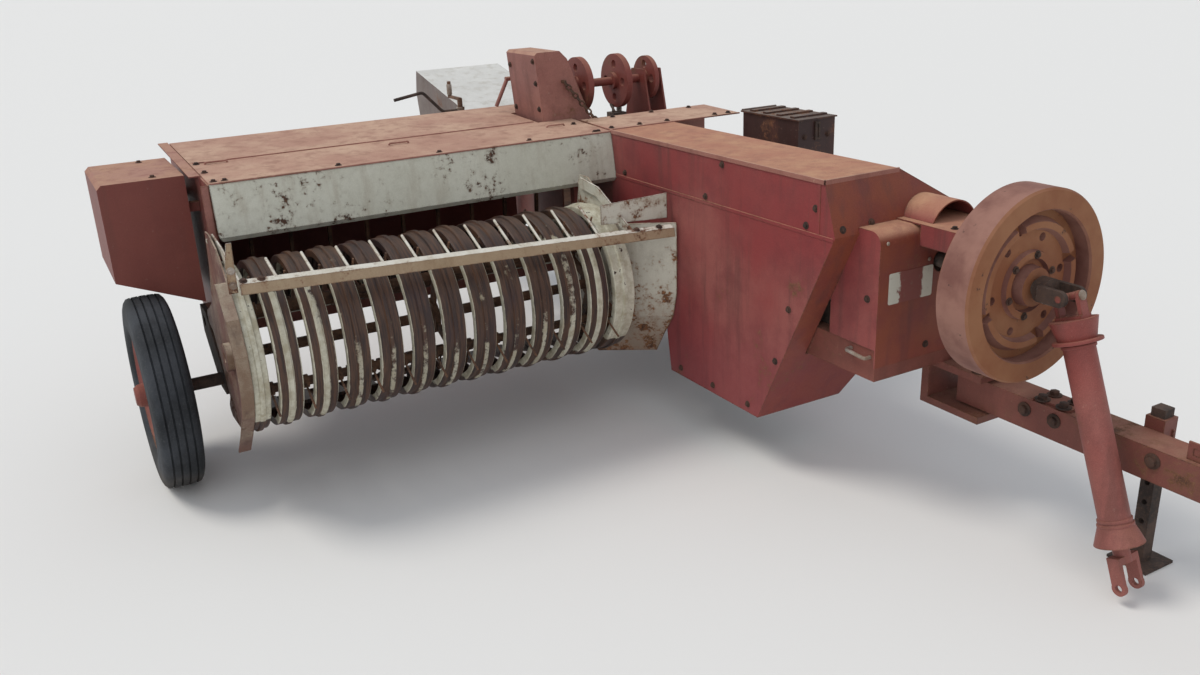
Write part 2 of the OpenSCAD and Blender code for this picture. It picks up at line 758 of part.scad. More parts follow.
// Hanging shaft with the cross, both forks, the shield tube and its bell
module drive_shaft() {
    color([0.72, 0.3, 0.25]) place() translate([fly_x, cross_y, fly_z]) rotate([-shaft_lean, 0, 0]) {
        rotate([0, 90, 0]) translate([0, 0, -43]) cylinder(d = 20, h = 86);
        shaft_fork();
        translate([0, 0, -60 - 65]) cylinder(d1 = shaft_d + 10, d2 = 124, h = 65);
        translate([0, 0, -600]) cylinder(d = shaft_d, h = 500);
        translate([0, 0, -662]) cylinder(d1 = 128, d2 = shaft_d, h = 62 + 1);
        translate([0, 0, -shaft_len]) {
            translate([0, 0, 64]) cylinder(d = 44, h = 60);
            difference() {
                for (s = [-1, 1]) translate([s * 34, 0, 0]) rotate([0, 90, 0]) {
                    cylinder(d = 40, h = 12, center = true);
                    translate([-40, 0, 0]) cube([80, 36, 12], center = true);
                }
                rotate([0, 90, 0]) cylinder(d = 20, h = 90, center = true);
            }
            translate([-40, -18, 62]) cube([80, 36, 20]);
        }
    }
}

// Fork whose ears stand fore and aft of the cross
module shaft_fork() {
    for (s = [-1, 1]) translate([0, s * 35, 0]) {
        rotate([90, 0, 0]) cylinder(d = 28, h = 12, center = true);
        translate([-14, -6, -60]) cube([28, 12, 60]);
    }
    rotate([90, 0, 0]) cylinder(d = 20, h = 70, center = true);
    translate([-20, -41, -62]) cube([40, 82, 12]);
}

// Tongue

module tongue() {
    y = [-hitch_y + 130, tongue_pivot_y + 50];
    x = [tongue_x, tongue_x + tongue_w];
    z = [tongue_z, tongue_top];
    sleeve = [x[1], x[1] + leg_s + 16];
    color([0.55, 0.22, 0.17]) place() difference() {
        union() {
            block(x, y, z);
            block(sleeve, [-stand_y - leg_s / 2 - 8, -stand_y + leg_s / 2 + 8], [z[0] - 25, z[1] + 35]);
            // Bolted joint plate on the top
            block([x[0] + 12, x[1] - 12], [-1760, -1640], [z[1], z[1] + 8]);
        }
        block([x[0] + tongue_t, x[1] - tongue_t], [y[0] - 1, y[1] + 1], [z[0] + tongue_t, z[1] - tongue_t]);
        bar_z(tongue_mid, tongue_pivot_y, [z[0] - 1, z[1] + 1], pivot_d + 2 * run_c);
        for (h = [1880, 2300]) bar_x([x[0] - 1, x[1] + 1], -h, (z[0] + z[1]) / 2, 24);
        block([x[1] + 8 - run_c, x[1] + 8 + leg_s + run_c],
            [-stand_y - leg_s / 2 - run_c, -stand_y + leg_s / 2 + run_c], [z[0] - 30, z[1] + 40]);
    }
}

// Two hitch plates with the pin hole
module hitch_clevis() {
    gap = 40;
    t = tongue_h / 2 - tongue_t - seat_c - gap / 2;
    mid = (tongue_z + tongue_top) / 2;
    color([0.5, 0.2, 0.16]) place() difference() {
        union() {
            for (z = [mid - gap / 2 - t, mid + gap / 2]) {
                block([tongue_mid - 40, tongue_mid + 40], [-hitch_y, -hitch_y + 250], [z, z + t]);
                bar_z(tongue_mid, -hitch_y, [z, z + t], 90);
            }
            block([tongue_mid - 40, tongue_mid + 40], [-hitch_y + 90, -hitch_y + 250],
                [mid - gap / 2 - 1, mid + gap / 2 + 1]);
        }
        bar_z(tongue_mid, -hitch_y, [mid - 60, mid + 60], 2 * hitch_r);
    }
}

module stand_leg() {
    x0 = tongue_x + tongue_w + 8;
    color([0.2, 0.17, 0.16]) place() difference() {
        union() {
            block([x0, x0 + leg_s], [-stand_y - leg_s / 2, -stand_y + leg_s / 2], [6, tongue_top + 60]);
            block([x0 + leg_s / 2 - 60, x0 + leg_s / 2 + 60], [-stand_y - 60, -stand_y + 60], [0, 8]);
        }
        for (z = [130:60:260]) bar_x([x0 - 1, x0 + leg_s + 1], -stand_y, z, 16);
    }
}

// Pickup

// Cross-section of a band: turned edges and a raised rib in the middle
module band_section(w) {
    t = 3;
    f = band_flange;
    translate([band_r, 0]) polygon([[-f, -w / 2], [-3, -w / 2], [0, -w / 2 + 3], [0, -9], [6, -6], [6, 6],
        [0, 9], [0, w / 2 - 3], [-3, w / 2], [-f, w / 2], [-f, w / 2 - t], [-t, w / 2 - t], [-t, 9],
        [3, 5], [3, -5], [-t, -9], [-t, -w / 2 + t], [-f, -w / 2 + t]]);
}

// A band's curve round the front of the reel, with the bracket on the lower cross tube
module band_curve(x, w, start) {
    translate([x, band_y, band_z]) rotate([90, 0, 90]) rotate([0, 0, start])
        rotate_extrude(angle = band_end_angle - start, $fn = 72) band_section(w);
    plate_x([x - w / 2 + 7, x + w / 2 - 7])
        polygon([[-146, 290], [-140, 300], [-8, 287], [6, 272], [-8, 253]]);
}

// A whole band, with its tail down to the upper cross tube before the pan
module band(x, w) {
    band_curve(x, w, tail_angle);
    translate([x, band_y, band_z]) rotate([90, 0, 90]) rotate([0, 0, tail_angle]) rotate([90, 0, 0])
        linear_extrude(tail_len) band_section(w);
    plate_x([x - w / 2 + 7, x + w / 2 - 7])
        polygon([[84, 574], [104, 568], [115, 553], [115, 538], [101, 530], [87, 541]]);
}

band_xs = [for (k = [0:band_n - 1]) band_x0 + k * band_pitch];
needle_x = [95, 285];

module stripper_bands() {
    color([0.8, 0.76, 0.64]) place() {
        for (x = band_xs) band(x, band_w);
        // The right end band stops short of the feeder's end wall
        band_curve(pickup_left + seat_c + end_band_w[0] / 2, end_band_w[0], 75);
        band(pickup_right - seat_c - end_band_w[1] / 2, end_band_w[1]);
        bar_x([-hood_w + 6, pickup_right - seat_c], 101, 545, 22);
        bar_x([pickup_left + seat_c, pickup_right - seat_c], -10, 270, 26);
    }
}

// Rear edge of both side plates, from the lower cross tube up to the pivot
plate_rear = [[-160, 258], [-14, 250], [12, 266], [12, 284], [-30, 328], [20, 430], [96, 524],
    [pivot_y + 18, pivot_z - 24], [pivot_y + 30, pivot_z], [pivot_y + 18, pivot_z + 24],
    [pivot_y - 20, pivot_z + 40], [20, 640], [-62, 780], [-92, 904]];

// Right side plate of the pickup with the flange along its front edge, down to its foot
module pickup_frame() {
    x = [pickup_left - plate_t, pickup_left];
    front = [[-345, 800], [-425, 710], [-474, 610], [-474, 500], [-425, 400], [-330, 300], [-240, 215]];
    color([0.72, 0.66, 0.55]) place() difference() {
        union() {
            plate_x(x) polygon(concat([[-150, 906], [-240, 880]], front, [[-204, 215]], plate_rear));
            plate_x([x[0] - 33, x[1]]) polygon(concat(front, [for (k = [6:-1:0]) front[k] + [6, 2]]));
            bar_x([x[0] - 22, x[1]], reel_y, reel_z, 90);
        }
        plate_bores([x[0] - 30, x[1] + 1]);
    }
}

// Bores for the reel's shaft, the pivot pin and the wind guard's pin
module plate_bores(x) {
    bar_x(x, reel_y, reel_z, 35 + 2 * run_c);
    bar_x(x, pivot_y, pivot_z, pickup_pin + 2 * run_c);
    bar_x(x, guard_pin[0], guard_pin[1], guard_pin_d + 2 * run_c);
}

// Cream plate beside the chamber, whose front half flares out to the crank housing
module pickup_flare_plate() {
    x = [pickup_right, pickup_right + plate_t];
    run = 125;
    turn = atan(run / flare_w);
    // The wing's outer edge, and the same edge where the wing leaves the flat plate
    outer = [[-455, 766], [-455, 640], [-450, 504], [-425, 413], [-357, 318], [-308, 245]];
    inner = [for (p = outer) p + [run, 0]];
    color([0.85, 0.81, 0.7]) place() {
        difference() {
            plate_x(x) polygon(concat([[-150, 906], [-240, 850]], [for (p = inner) p + [3, 0]], plate_rear));
            plate_bores([x[0] - 1, x[1] + 1]);
        }
        intersection() {
            block([x[0] + 1, flare_right], [-600, 0], [0, 1000]);
            translate([x[0], 0, 0]) rotate([0, 0, -turn]) plate_x([-20, 460]) polygon(concat(
                [for (p = inner) [p[0] * cos(turn), p[1]]],
                [for (k = [5:-1:0]) [inner[k][0] * cos(turn) + plate_t, inner[k][1] + 1]]));
        }
    }
}

// Shaft, spiders, tine bars and tines
module pickup_reel() {
    bar_rad = 175;
    x = [pickup_left - 22, pickup_right + plate_t];
    spiders = [pickup_left + 40, (pickup_left + pickup_right) / 2, pickup_right - 40];
    color([0.33, 0.22, 0.17]) place() translate([0, reel_y, reel_z]) {
        bar_x(x, 0, 0, 35);
        for (s = spiders) bar_x([s - 9, s + 9], 0, 0, 120);
        for (a = [0:360 / bar_n:359]) rotate([a + 24, 0, 0]) {
            for (s = spiders) block([s - 5, s + 5], [-16, 16], [40, bar_rad]);
            bar_x([pickup_left + 20, pickup_right - 20], 0, bar_rad, 28);
            for (k = [0:band_n]) translate([band_xs[0] + (k - 0.5) * band_pitch, 0, 0]) {
                bar_x([-14, 14], 0, bar_rad, 42);
                strut([0, 14, bar_rad], [0, 4, tine_r - 0.5], tine_d);
            }
        }
    }
}

// Front bar with its fingers, hinged on the two side plates
module wind_guard() {
    y = guard_y;
    left = pickup_left + 8;
    right = pickup_right - 14;
    function top(x) = guard_top - (x - left) * tan(guard_tilt);
    color([0.84, 0.8, 0.7]) place() {
        translate([left, 0, guard_top]) rotate([0, guard_tilt, 0]) plate_x([0, flare_right - 32 - left])
            polygon([[y, 0], [y - 22, -8], [y - 30, -guard_bar], [y - 22, -guard_bar - 2], [y - 14, -14],
                [y + 4, -8], [y + 4, -1]]);
        for (x = band_xs) strut([x, y + 1, top(x) - 5], [x + 4, y + 135, 852], 9);
        for (x = [left, right]) plate_x([x, x + 6]) polygon([[y - 20, top(x) - 30], [y - 20, top(x) - 9],
            [-250, 886], guard_pin + [0, 20], guard_pin + [18, 0], guard_pin - [0, 18], [-235, 850],
            [y + 30, top(x) - 26]]);
        for (x = [[left - plate_t - 11, left + 1], [right + 5, right + plate_t + 17]])
            bar_x(x, guard_pin[0], guard_pin[1], guard_pin_d);
        // Deflector beside the chamber, above the flared plate
        plate_y([y + 70, y + 74]) polygon([[flare_right - 4, 864], [flare_right - 271, 858],
            [flare_right - 271, 790], [flare_right - 4, 775]]);
    }
}

// Knotter

module knotter_frame() {
    z = chamber_top_z;
    color([0.5, 0.2, 0.16]) place() {
        for (x = [[106, 112], [440, 448], [520, 528]]) difference() {
            plate_x(x) polygon([[knot_y - 110, z + 8], [knot_y + 120, z + 8], [knot_y + 50, knot_z + 40],
                [knot_y - 50, knot_z + 40]]);
            bar_x([x[0] - 1, x[1] + 1], knot_y, knot_z, knot_d + 2 * run_c);
        }
        block([side_t, 528], [knot_y - 110, knot_y - 90], [z + 8, z + 18]);
        block([side_t, 528], [knot_y + 100, knot_y + 120], [z + 8, z + 18]);
    }
}

// Shaft with its two cam discs and the end disc
module knotter_shaft() {
    discs = [[150, knot_r, 26], [335, knot_r, 26], [484, knot_r - 20, 20]];
    color([0.5, 0.22, 0.18]) place() translate([0, knot_y, knot_z]) {
        bar_x([-60, 545], 0, 0, knot_d);
        for (d = discs) difference() {
            union() {
                bar_x([d[0] - d[2] / 2, d[0] + d[2] / 2], 0, 0, 2 * d[1]);
                bar_x([d[0] - 30, d[0] + 24], 0, 0, 70);
            }
            for (a = [0:90:270]) rotate([a, 0, 0]) bar_x([d[0] - 40, d[0] + 40], 0, d[1] * 0.62, 34);
        }
    }
}

// Two knotter heads below the discs
module knotters() {
    z = chamber_top_z + 7;
    color([0.3, 0.25, 0.22]) place() {
        block([20, chamber_w - 24], [knot_y + 45, knot_y + 75], [chamber_top_z + seat_c, z]);
        for (x = [150, 335]) {
            block([x - 14, x + 50], [knot_y + 10, knot_y + 70], [z - 1, z + 70]);
            bar_y(x + 18, [knot_y - 40, knot_y + 12], z + 40, 44);
            bar_y(x + 18, [knot_y - 60, knot_y - 40], z + 40, 60);
        }
    }
}

// Tall box over the chain drive, wider at its foot
shield_x = [-150, 99];
shield_y = [knot_y - 205, knot_y + 51];

module knotter_shield() {
    t = sheet_t;
    x = shield_x;
    z = [hood_z - 20, 1308];
    color([0.62, 0.25, 0.2]) place() difference() {
        plate_y(shield_y) polygon([[x[0] + 27, z[0]], [x[0], z[1] - 10], [x[0] + 12, z[1]],
            [x[0] + 110, z[1]], [x[0] + 142, z[1] - 32], [x[1], z[0]]]);
        plate_y([shield_y[0] + t, shield_y[1] - t]) polygon([[x[0] + 27 + t, z[0] - 1],
            [x[0] + t, z[1] - 10 - t], [x[0] + 14, z[1] - t], [x[0] + 108, z[1] - t],
            [x[0] + 142 - t, z[1] - 36], [x[1] - t, z[0] - 1]]);
        bar_x([0, x[1] + 1], knot_y, knot_z, knot_d + 20);
    }
}

// Bent arm that trips the knotter, hanging beside the shield
module trip_arm() {
    d = 16;
    foot = [20, knot_y + 110, chamber_top_z + 18];
    top = 1185;
    color("dimgray") place() {
        bar_z(foot[0], foot[1], [foot[2], top + d / 2], d);
        bar_x([-136, foot[0] + d / 2], foot[1], top, d + 2);
        strut([-128, foot[1], top], [-185, foot[1], 1078], d);
        block([foot[0] - 14, foot[0] + 14], [foot[1] - 10, foot[1] + 10], [foot[2], foot[2] + 8]);
    }
}

// Chain held taut across the shield's front, between its two studs
module drive_chain() {
    a = [-33, shield_y[0] - 12, 1191];
    b = [100, cap_plate_d + 12, hood_z - 18];
    n = 12;
    step = (b - a) / n;
    color("saddlebrown") place() {
        bar_y(a[0], [a[1] - 5, shield_y[0] - seat_c], a[2], 14);
        bar_y(b[0], [cap_plate_d + seat_c, b[1] + 5], b[2], 14);
        for (k = [0:n - 1]) translate(a + step * (k + 0.5))
            rotate([0, acos(step[2] / norm(step)), atan2(step[1], step[0])]) rotate(k % 2 * 90)
                link(norm(step));
    }
}

// One chain link
module link(len) {
    cube([14, 6, len * 1.25], center = true);
}

// Needles on their yoke, swinging up through the chamber
module needles() {
    p = [860, 720];
    tip = 31;
    root = 106;
    color([0.45, 0.25, 0.2]) place() {
        for (x = needle_x) translate([x - 6, p[0], p[1]]) rotate([90, 0, 90]) rotate([0, 0, 180 + tip])
            rotate_extrude(angle = root - tip, $fn = 96) translate([needle_r - 14, 0]) square([28, 12]);
        yoke = [p[0] - needle_r * cos(root - 1), p[1] - needle_r * sin(root - 1)];
        bar_x([-44, chamber_w + 44], yoke[0], yoke[1], 44);
        for (x = [[-44, -28], [chamber_w + 28, chamber_w + 44]]) difference() {
            plate_x(x) difference() {
                union() {
                    translate([p[0], p[1]]) circle(34);
                    translate([p[0], p[1]]) rotate(180 + root - 1) translate([0, -20])
                        square([needle_r, 40]);
                    translate([yoke[0], yoke[1]]) circle(30);
                }
                translate([p[0], p[1]]) circle(d = 36 + 2 * run_c);
            }
        }
    }
}

// Cross bars, screws, springs and cranks that squeeze the bale
module tension_gear() {
    y = 1290;
    z = [floor_z - 44, chamber_top_z + 8];
    color([0.4, 0.2, 0.16]) place() {
        for (h = [[z[0], z[0] + 44], [z[1], z[1] + 40]]) block([-110, chamber_w + 110], [y - 25, y + 25], h);
        for (x = [-80, chamber_w + 80]) {
            bar_z(x, y, [z[0] - 20, z[1] + 100], 24);
            for (k = [0:7]) bar_z(x, y, [z[1] - 150 + k * 17, z[1] - 140 + k * 17], 60);
            block([x - 8, x + 8], [y - 8, y + 130], [z[1] + 92, z[1] + 104]);
            bar_z(x, y + 122, [z[1] + 100, z[1] + 170], 18);
        }
    }
}

// Bale chute, folded forward over the chamber

// Height of the underside of the folded floor
function chute_rest_z(y) = chute_pivot_z + chute_up - (chute_pivot_y + chute_back - y) * tan(chute_slope)
    - sheet_t / cos(chute_slope);

module bale_chute() {
    t = sheet_t;
    x = [-move_c - t, chamber_w + move_c + t];
    // The pivot, seen along the sloping floor from its rear edge
    py = -chute_back * cos(chute_slope) - chute_up * sin(chute_slope);
    pz = chute_back * sin(chute_slope) - chute_up * cos(chute_slope);
    color([0.75, 0.75, 0.74]) place() translate([0, chute_pivot_y + chute_back, chute_pivot_z + chute_up])
        rotate([chute_slope, 0, 0]) difference() {
            union() {
                block(x, [-chute_len, 0], [-t, 0]);
                for (w = [[x[0], x[0] + t], [x[1] - t, x[1]]]) plate_x(w) {
                    polygon([[-chute_len, 0], [0, 0], [0, -chute_drop], [py + 40, pz - 15],
                        [py - 40, pz - 15], [py - 60, -chute_side], [-chute_len + 30, -chute_side]]);
                    translate([py, pz]) circle(44);
                }
            }
            bar_x([x[0] - 1, x[1] + 1], py, pz, 24 + 2 * run_c);
        }
}

// Twine box

module twine_box() {
    t = sheet_t;
    x = [twine_x, twine_x + twine_w];
    y = [twine_y, twine_y + twine_len];
    z = [twine_top - twine_h, twine_top];
    color([0.25, 0.14, 0.12]) place() {
        difference() {
            block(x, y, z);
            block([x[0] + t, x[1] - t], [y[0] + t, y[1] - t], [z[0] + t, z[1] + 1]);
        }
        for (b = [y[0] + 60, y[1] - 100]) block([chamber_w + 4, x[0]], [b, b + 40], [z[0] + 20, z[0] + 90]);
    }
}

// Ribbed lid hinged at its rear edge
module twine_box_lid() {
    x = [twine_x - 6, twine_x + twine_w + 6];
    y = [twine_y - 6, twine_y + twine_len + 6];
    z = twine_top + seat_c;
    ribs = 4;
    rib_step = (twine_len - 10) / ribs;
    color([0.2, 0.13, 0.12]) place() {
        block(x, [y[0], y[1] + 3], [z, z + 5]);
        for (k = [0:ribs - 1]) block([x[0] + 14, x[1] - 14],
            [y[0] + 40 + k * rib_step, y[0] + 64 + k * rib_step], [z + 4, z + 12]);
        bar_x([x[0] + 10, x[1] - 10], y[1] + 6, z + 4, 12);
    }
}

// Star wheel that measures the bale
module metering_wheel() {
    color([0.42, 0.25, 0.2]) place() {
        translate([195, meter_y, meter_z]) rotate([0, 90, 0]) difference() {
            union() {
                cylinder(r = 80, h = 12);
                for (a = [0:30:330]) rotate(a) translate([78, 0, 0]) rotate(45) translate([-9, -9, 0])
                    cube([18, 18, 12]);
                translate([0, 0, -20]) cylinder(d = 50, h = 52);
            }
            translate([0, 0, -30]) cylinder(d = 20 + 2 * run_c, h = 80);
        }
    }
}

main_frame();
right_spindle();
left_spindle();
right_rim();
right_tyre();
left_rim();
left_tyre();
chamber_sides();
chamber_floor();
chamber_top();
plunger();
crank_housing();
gearbox_guard();
gearbox();
gearbox_top_covers();
hood_roof();
hood_front_panel();
feeder_end_wall();
feeder_pan();
feeder_fingers();
drive_shield();
pickup_frame();
pickup_flare_plate();
stripper_bands();
pickup_reel();
wind_guard();
flywheel();
input_yoke();
drive_shaft();
tongue();
hitch_clevis();
stand_leg();
knotter_frame();
knotter_shaft();
knotters();
knotter_shield();
trip_arm();
drive_chain();
needles();
tension_gear();
bale_chute();
twine_box();
twine_box_lid();
metering_wheel();
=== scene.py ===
import math
import bpy
from mathutils import Matrix, Vector


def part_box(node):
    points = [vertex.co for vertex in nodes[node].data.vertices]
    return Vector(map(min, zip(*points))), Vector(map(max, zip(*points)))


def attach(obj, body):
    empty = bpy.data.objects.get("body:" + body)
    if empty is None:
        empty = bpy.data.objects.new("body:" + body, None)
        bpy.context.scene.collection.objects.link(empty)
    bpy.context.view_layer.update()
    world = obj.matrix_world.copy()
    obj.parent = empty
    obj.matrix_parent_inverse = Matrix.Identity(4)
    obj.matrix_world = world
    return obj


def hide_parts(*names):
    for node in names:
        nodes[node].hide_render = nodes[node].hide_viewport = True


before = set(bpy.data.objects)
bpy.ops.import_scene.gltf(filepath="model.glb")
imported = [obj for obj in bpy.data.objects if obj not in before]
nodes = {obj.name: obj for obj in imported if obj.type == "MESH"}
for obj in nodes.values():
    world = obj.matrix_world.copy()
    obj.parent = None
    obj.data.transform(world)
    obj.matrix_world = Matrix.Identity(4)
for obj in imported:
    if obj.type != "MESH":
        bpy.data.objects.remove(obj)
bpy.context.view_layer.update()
print("frame loaded:", len(nodes), "nodes")

# Places are in metres from the right face of the crank housing, the front edge of the hood and the ground
lipOut = 0.004
datum = Vector((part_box("crank_housing")[0].x + lipOut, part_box("hood_roof")[0].y, 0))


def spot(x, y, z):
    return datum + Vector((x, y, z))


# Finishes

def addNode(tree, kind, inputs=None, **settings):
    node = tree.nodes.new("ShaderNode" + kind)
    for key, value in settings.items():
        setattr(node, key, value)
    for key, value in (inputs or {}).items():
        if isinstance(value, bpy.types.NodeSocket):
            tree.links.new(value, node.inputs[key])
        else:
            node.inputs[key].default_value = value
    return node


def opaque(colour):  # three numbers get their alpha, a socket stays as it is
    return (*colour, 1.0) if isinstance(colour, tuple) else colour


class Surface:  # a material in the making: each method adds nodes and gives their output
    def __init__(self, name):
        self.material = bpy.data.materials.new(name)
        self.material.use_nodes = True
        self.tree = self.material.node_tree
        self.tree.nodes.clear()
        self.coords = self.add("TexCoord").outputs["Object"]
        self.place = self.add("SeparateXYZ", {0: self.coords}).outputs

    def add(self, kind, inputs=None, **settings):
        return addNode(self.tree, kind, inputs, **settings)

    def facing(self):  # the parts of the true normal
        normal = self.add("NewGeometry").outputs["Normal"]
        return self.add("SeparateXYZ", {0: normal}).outputs

    def centred(self, middle, scale=(1, 1, 1)):
        inputs = {"Vector": self.coords, "Location": -middle, "Scale": scale}
        return self.add("Mapping", inputs).outputs[0]

    def noise(self, scale, detail=5, roughness=0.6, stretch=None):
        coords = self.coords
        if stretch:
            coords = self.add("Mapping", {"Vector": coords, "Scale": stretch}).outputs[0]
        inputs = {"Vector": coords, "Scale": scale, "Detail": detail, "Roughness": roughness}
        return self.add("TexNoise", inputs).outputs["Fac"]

    def mask(self, value, low, high):  # 0 at low, 1 at high, smooth between them
        inputs = {"Value": value, "From Min": low, "From Max": high}
        return self.add("MapRange", inputs, interpolation_type="SMOOTHSTEP").outputs[0]

    def ranged(self, value, low, high):  # low where the value is 0, high where it is 1
        return self.add("MapRange", {"Value": value, "To Min": low, "To Max": high}).outputs[0]

    def compute(self, operation, first, *others):  # the first value with each of the others in turn
        for other in others or (0.0,):
            first = self.add("Math", {0: first, 1: other}, operation=operation).outputs[0]
        return first

    def plus(self, *terms):
        return self.compute("ADD", *terms)

    def times(self, *factors):
        return self.compute("MULTIPLY", *factors)

    def most(self, *values):
        return self.compute("MAXIMUM", *values)

    def sway(self, value, amount):  # the value about its middle, scaled
        return self.times(self.plus(value, -0.5), amount)

    def blend(self, factor, a, b, way="MIX"):
        inputs = {0: factor, 6: opaque(a), 7: opaque(b)}
        return self.add("Mix", inputs, data_type="RGBA", blend_type=way).outputs[2]

    def tint(self, colour, other, *factors):
        return self.blend(self.times(*factors), colour, other)

    def edgeWear(self, radius):
        rounded = self.add("Bevel", {"Radius": radius}, samples=3).outputs[0]
        flat = self.add("NewGeometry").outputs["Normal"]
        dot = self.add("VectorMath", {0: rounded, 1: flat}, operation="DOT_PRODUCT")
        return self.mask(dot.outputs["Value"], 0.995, 0.86)

    def finish(self, colour, roughness, relief, strength, **others):
        bump = self.add("Bump", {"Height": relief, "Strength": strength, "Distance": 1.0})
        inputs = {"Base Color": opaque(colour), "Roughness": roughness, "Normal": bump.outputs[0]}
        inputs.update({shaderInputs[key]: value for key, value in others.items()})
        shader = self.add("BsdfPrincipled", inputs)
        self.add("OutputMaterial", {"Surface": shader.outputs[0]})
        return self.material


shaderInputs = {"gloss": "Specular IOR Level", "metallic": "Metallic"}


# Old paint on sheet steel: tops painted lighter as sunlight, streaked, chipped to rust along its edges
def wornPaint(name, look):
    s = Surface(name)
    normal, height = s.facing(), s.place["Z"]
    broad = s.noise(look["broadScale"], 5, 0.55)
    patches = s.noise(look["patches"], 9, 0.68)
    clusters = s.noise(look["clusterScale"], 4, 0.5)
    grit = s.noise(look["gritScale"], 7, 0.7)
    fine = s.noise(look["fineScale"], 3, 0.6)
    streaks = s.noise(1, 5, 0.62, look["runs"])
    edges = s.edgeWear(look["edgeRadius"])

    # Sides and front faces have weathered apart; up-facing tops are painted lighter, as sunlight
    paintedSunTops = s.mask(normal["Z"], 0.3, 0.9)
    front = s.mask(s.times(normal["Y"], -1.0), 0.55, 0.9)
    front = s.times(front, s.mask(s.place["Y"], look["frontTo"] + 0.02, look["frontTo"]))
    paint = s.blend(s.mask(broad, 0.36, 0.66), look["paint"], look["bleached"])
    paint = s.tint(paint, look["frontTone"], front, look["frontTurn"])
    paint = s.tint(paint, look["mottle"], s.mask(patches, 0.4, 0.7), look["mottling"])
    paint = s.tint(paint, look["stain"], s.mask(streaks, 0.48, 0.72), look["streaks"])
    # Up-facing tops take lighter tan colours as painted sunlight, with tan patches and darker streaks
    top = s.blend(s.mask(patches, 0.35, 0.68), look["top"], look["tan"])
    top = s.tint(top, look["topDark"], s.mask(streaks, 0.46, 0.7), 0.6)
    paint = s.tint(paint, top, paintedSunTops, look["paintedSunAmount"])
    grain = s.mask(fine, 0.3, 0.75)
    grey = s.add("CombineColor", {0: grain, 1: grain, 2: grain}).outputs[0]
    paint = s.blend(look["grain"], paint, grey, "SOFT_LIGHT")
    low = s.mask(height, look["grimeTop"], look["grimeTop"] - look["grimeFade"])
    paint = s.tint(paint, look["grimy"], low, look["grime"])

    # Rust in clusters, where patches and grit are both high, sooner on edges and low down
    pits = s.plus(s.times(patches, 0.62), s.times(grit, 0.38), s.times(edges, look["edgeRust"]),
                  s.sway(clusters, 0.5), s.times(s.mask(height, 0.6, 0.2), look["lowRust"]))
    start = look["rustFrom"]
    rusty = s.mask(pits, start, start + 0.035)
    rust = s.blend(s.mask(grit, 0.38, 0.66), look["rustDark"], look["rustLight"])
    paint = s.tint(paint, look["rustLight"], s.mask(pits, start - 0.06, start + 0.02), look["halo"])
    colour = s.blend(rusty, paint, rust)
    colour = s.tint(colour, look["speck"], s.mask(grit, 0.6, 0.72), look["specks"])

    roughness = s.plus(s.ranged(s.most(rusty, paintedSunTops), look["roughPaint"], 0.86), s.sway(grit, 0.3))
    relief = s.plus(s.times(s.noise(look["dentScale"], 2, 0.4), look["dents"]),
                    s.times(rusty, s.times(grit, 0.0016)), s.times(fine, 0.00008), s.times(rusty, -0.0005))
    return s.finish(colour, roughness, relief, 0.8, gloss=look["gloss"])


paintDefaults = {
    "broadScale": 1.6, "patches": 6.0, "clusterScale": 3.2, "gritScale": 70, "fineScale": 420,
    "runs": (20, 20, 1.6), "edgeRadius": 0.006, "frontTurn": 0.0, "frontTone": (0.2, 0.06, 0.03),
    "frontTo": 9.0, "mottle": (0.14, 0.04, 0.036), "mottling": 0.5, "streaks": 0.4, "paintedSunAmount": 0.9,
    "stain": (0.12, 0.045, 0.035), "top": (0.36, 0.17, 0.12), "tan": (0.46, 0.27, 0.18),
    "topDark": (0.27, 0.12, 0.09),
    "grain": 0.18, "grime": 0.3, "grimeTop": 0.6, "grimeFade": 0.35, "grimy": (0.1, 0.045, 0.035),
    "edgeRust": 0.12, "lowRust": 0.05, "rustFrom": 0.66, "rustDark": (0.045, 0.022, 0.016),
    "rustLight": (0.19, 0.085, 0.045), "halo": 0.45, "specks": 0.25, "speck": (0.42, 0.3, 0.24),
    "roughPaint": 0.52, "dentScale": 3.2, "dents": 0.006, "gloss": 0.3}

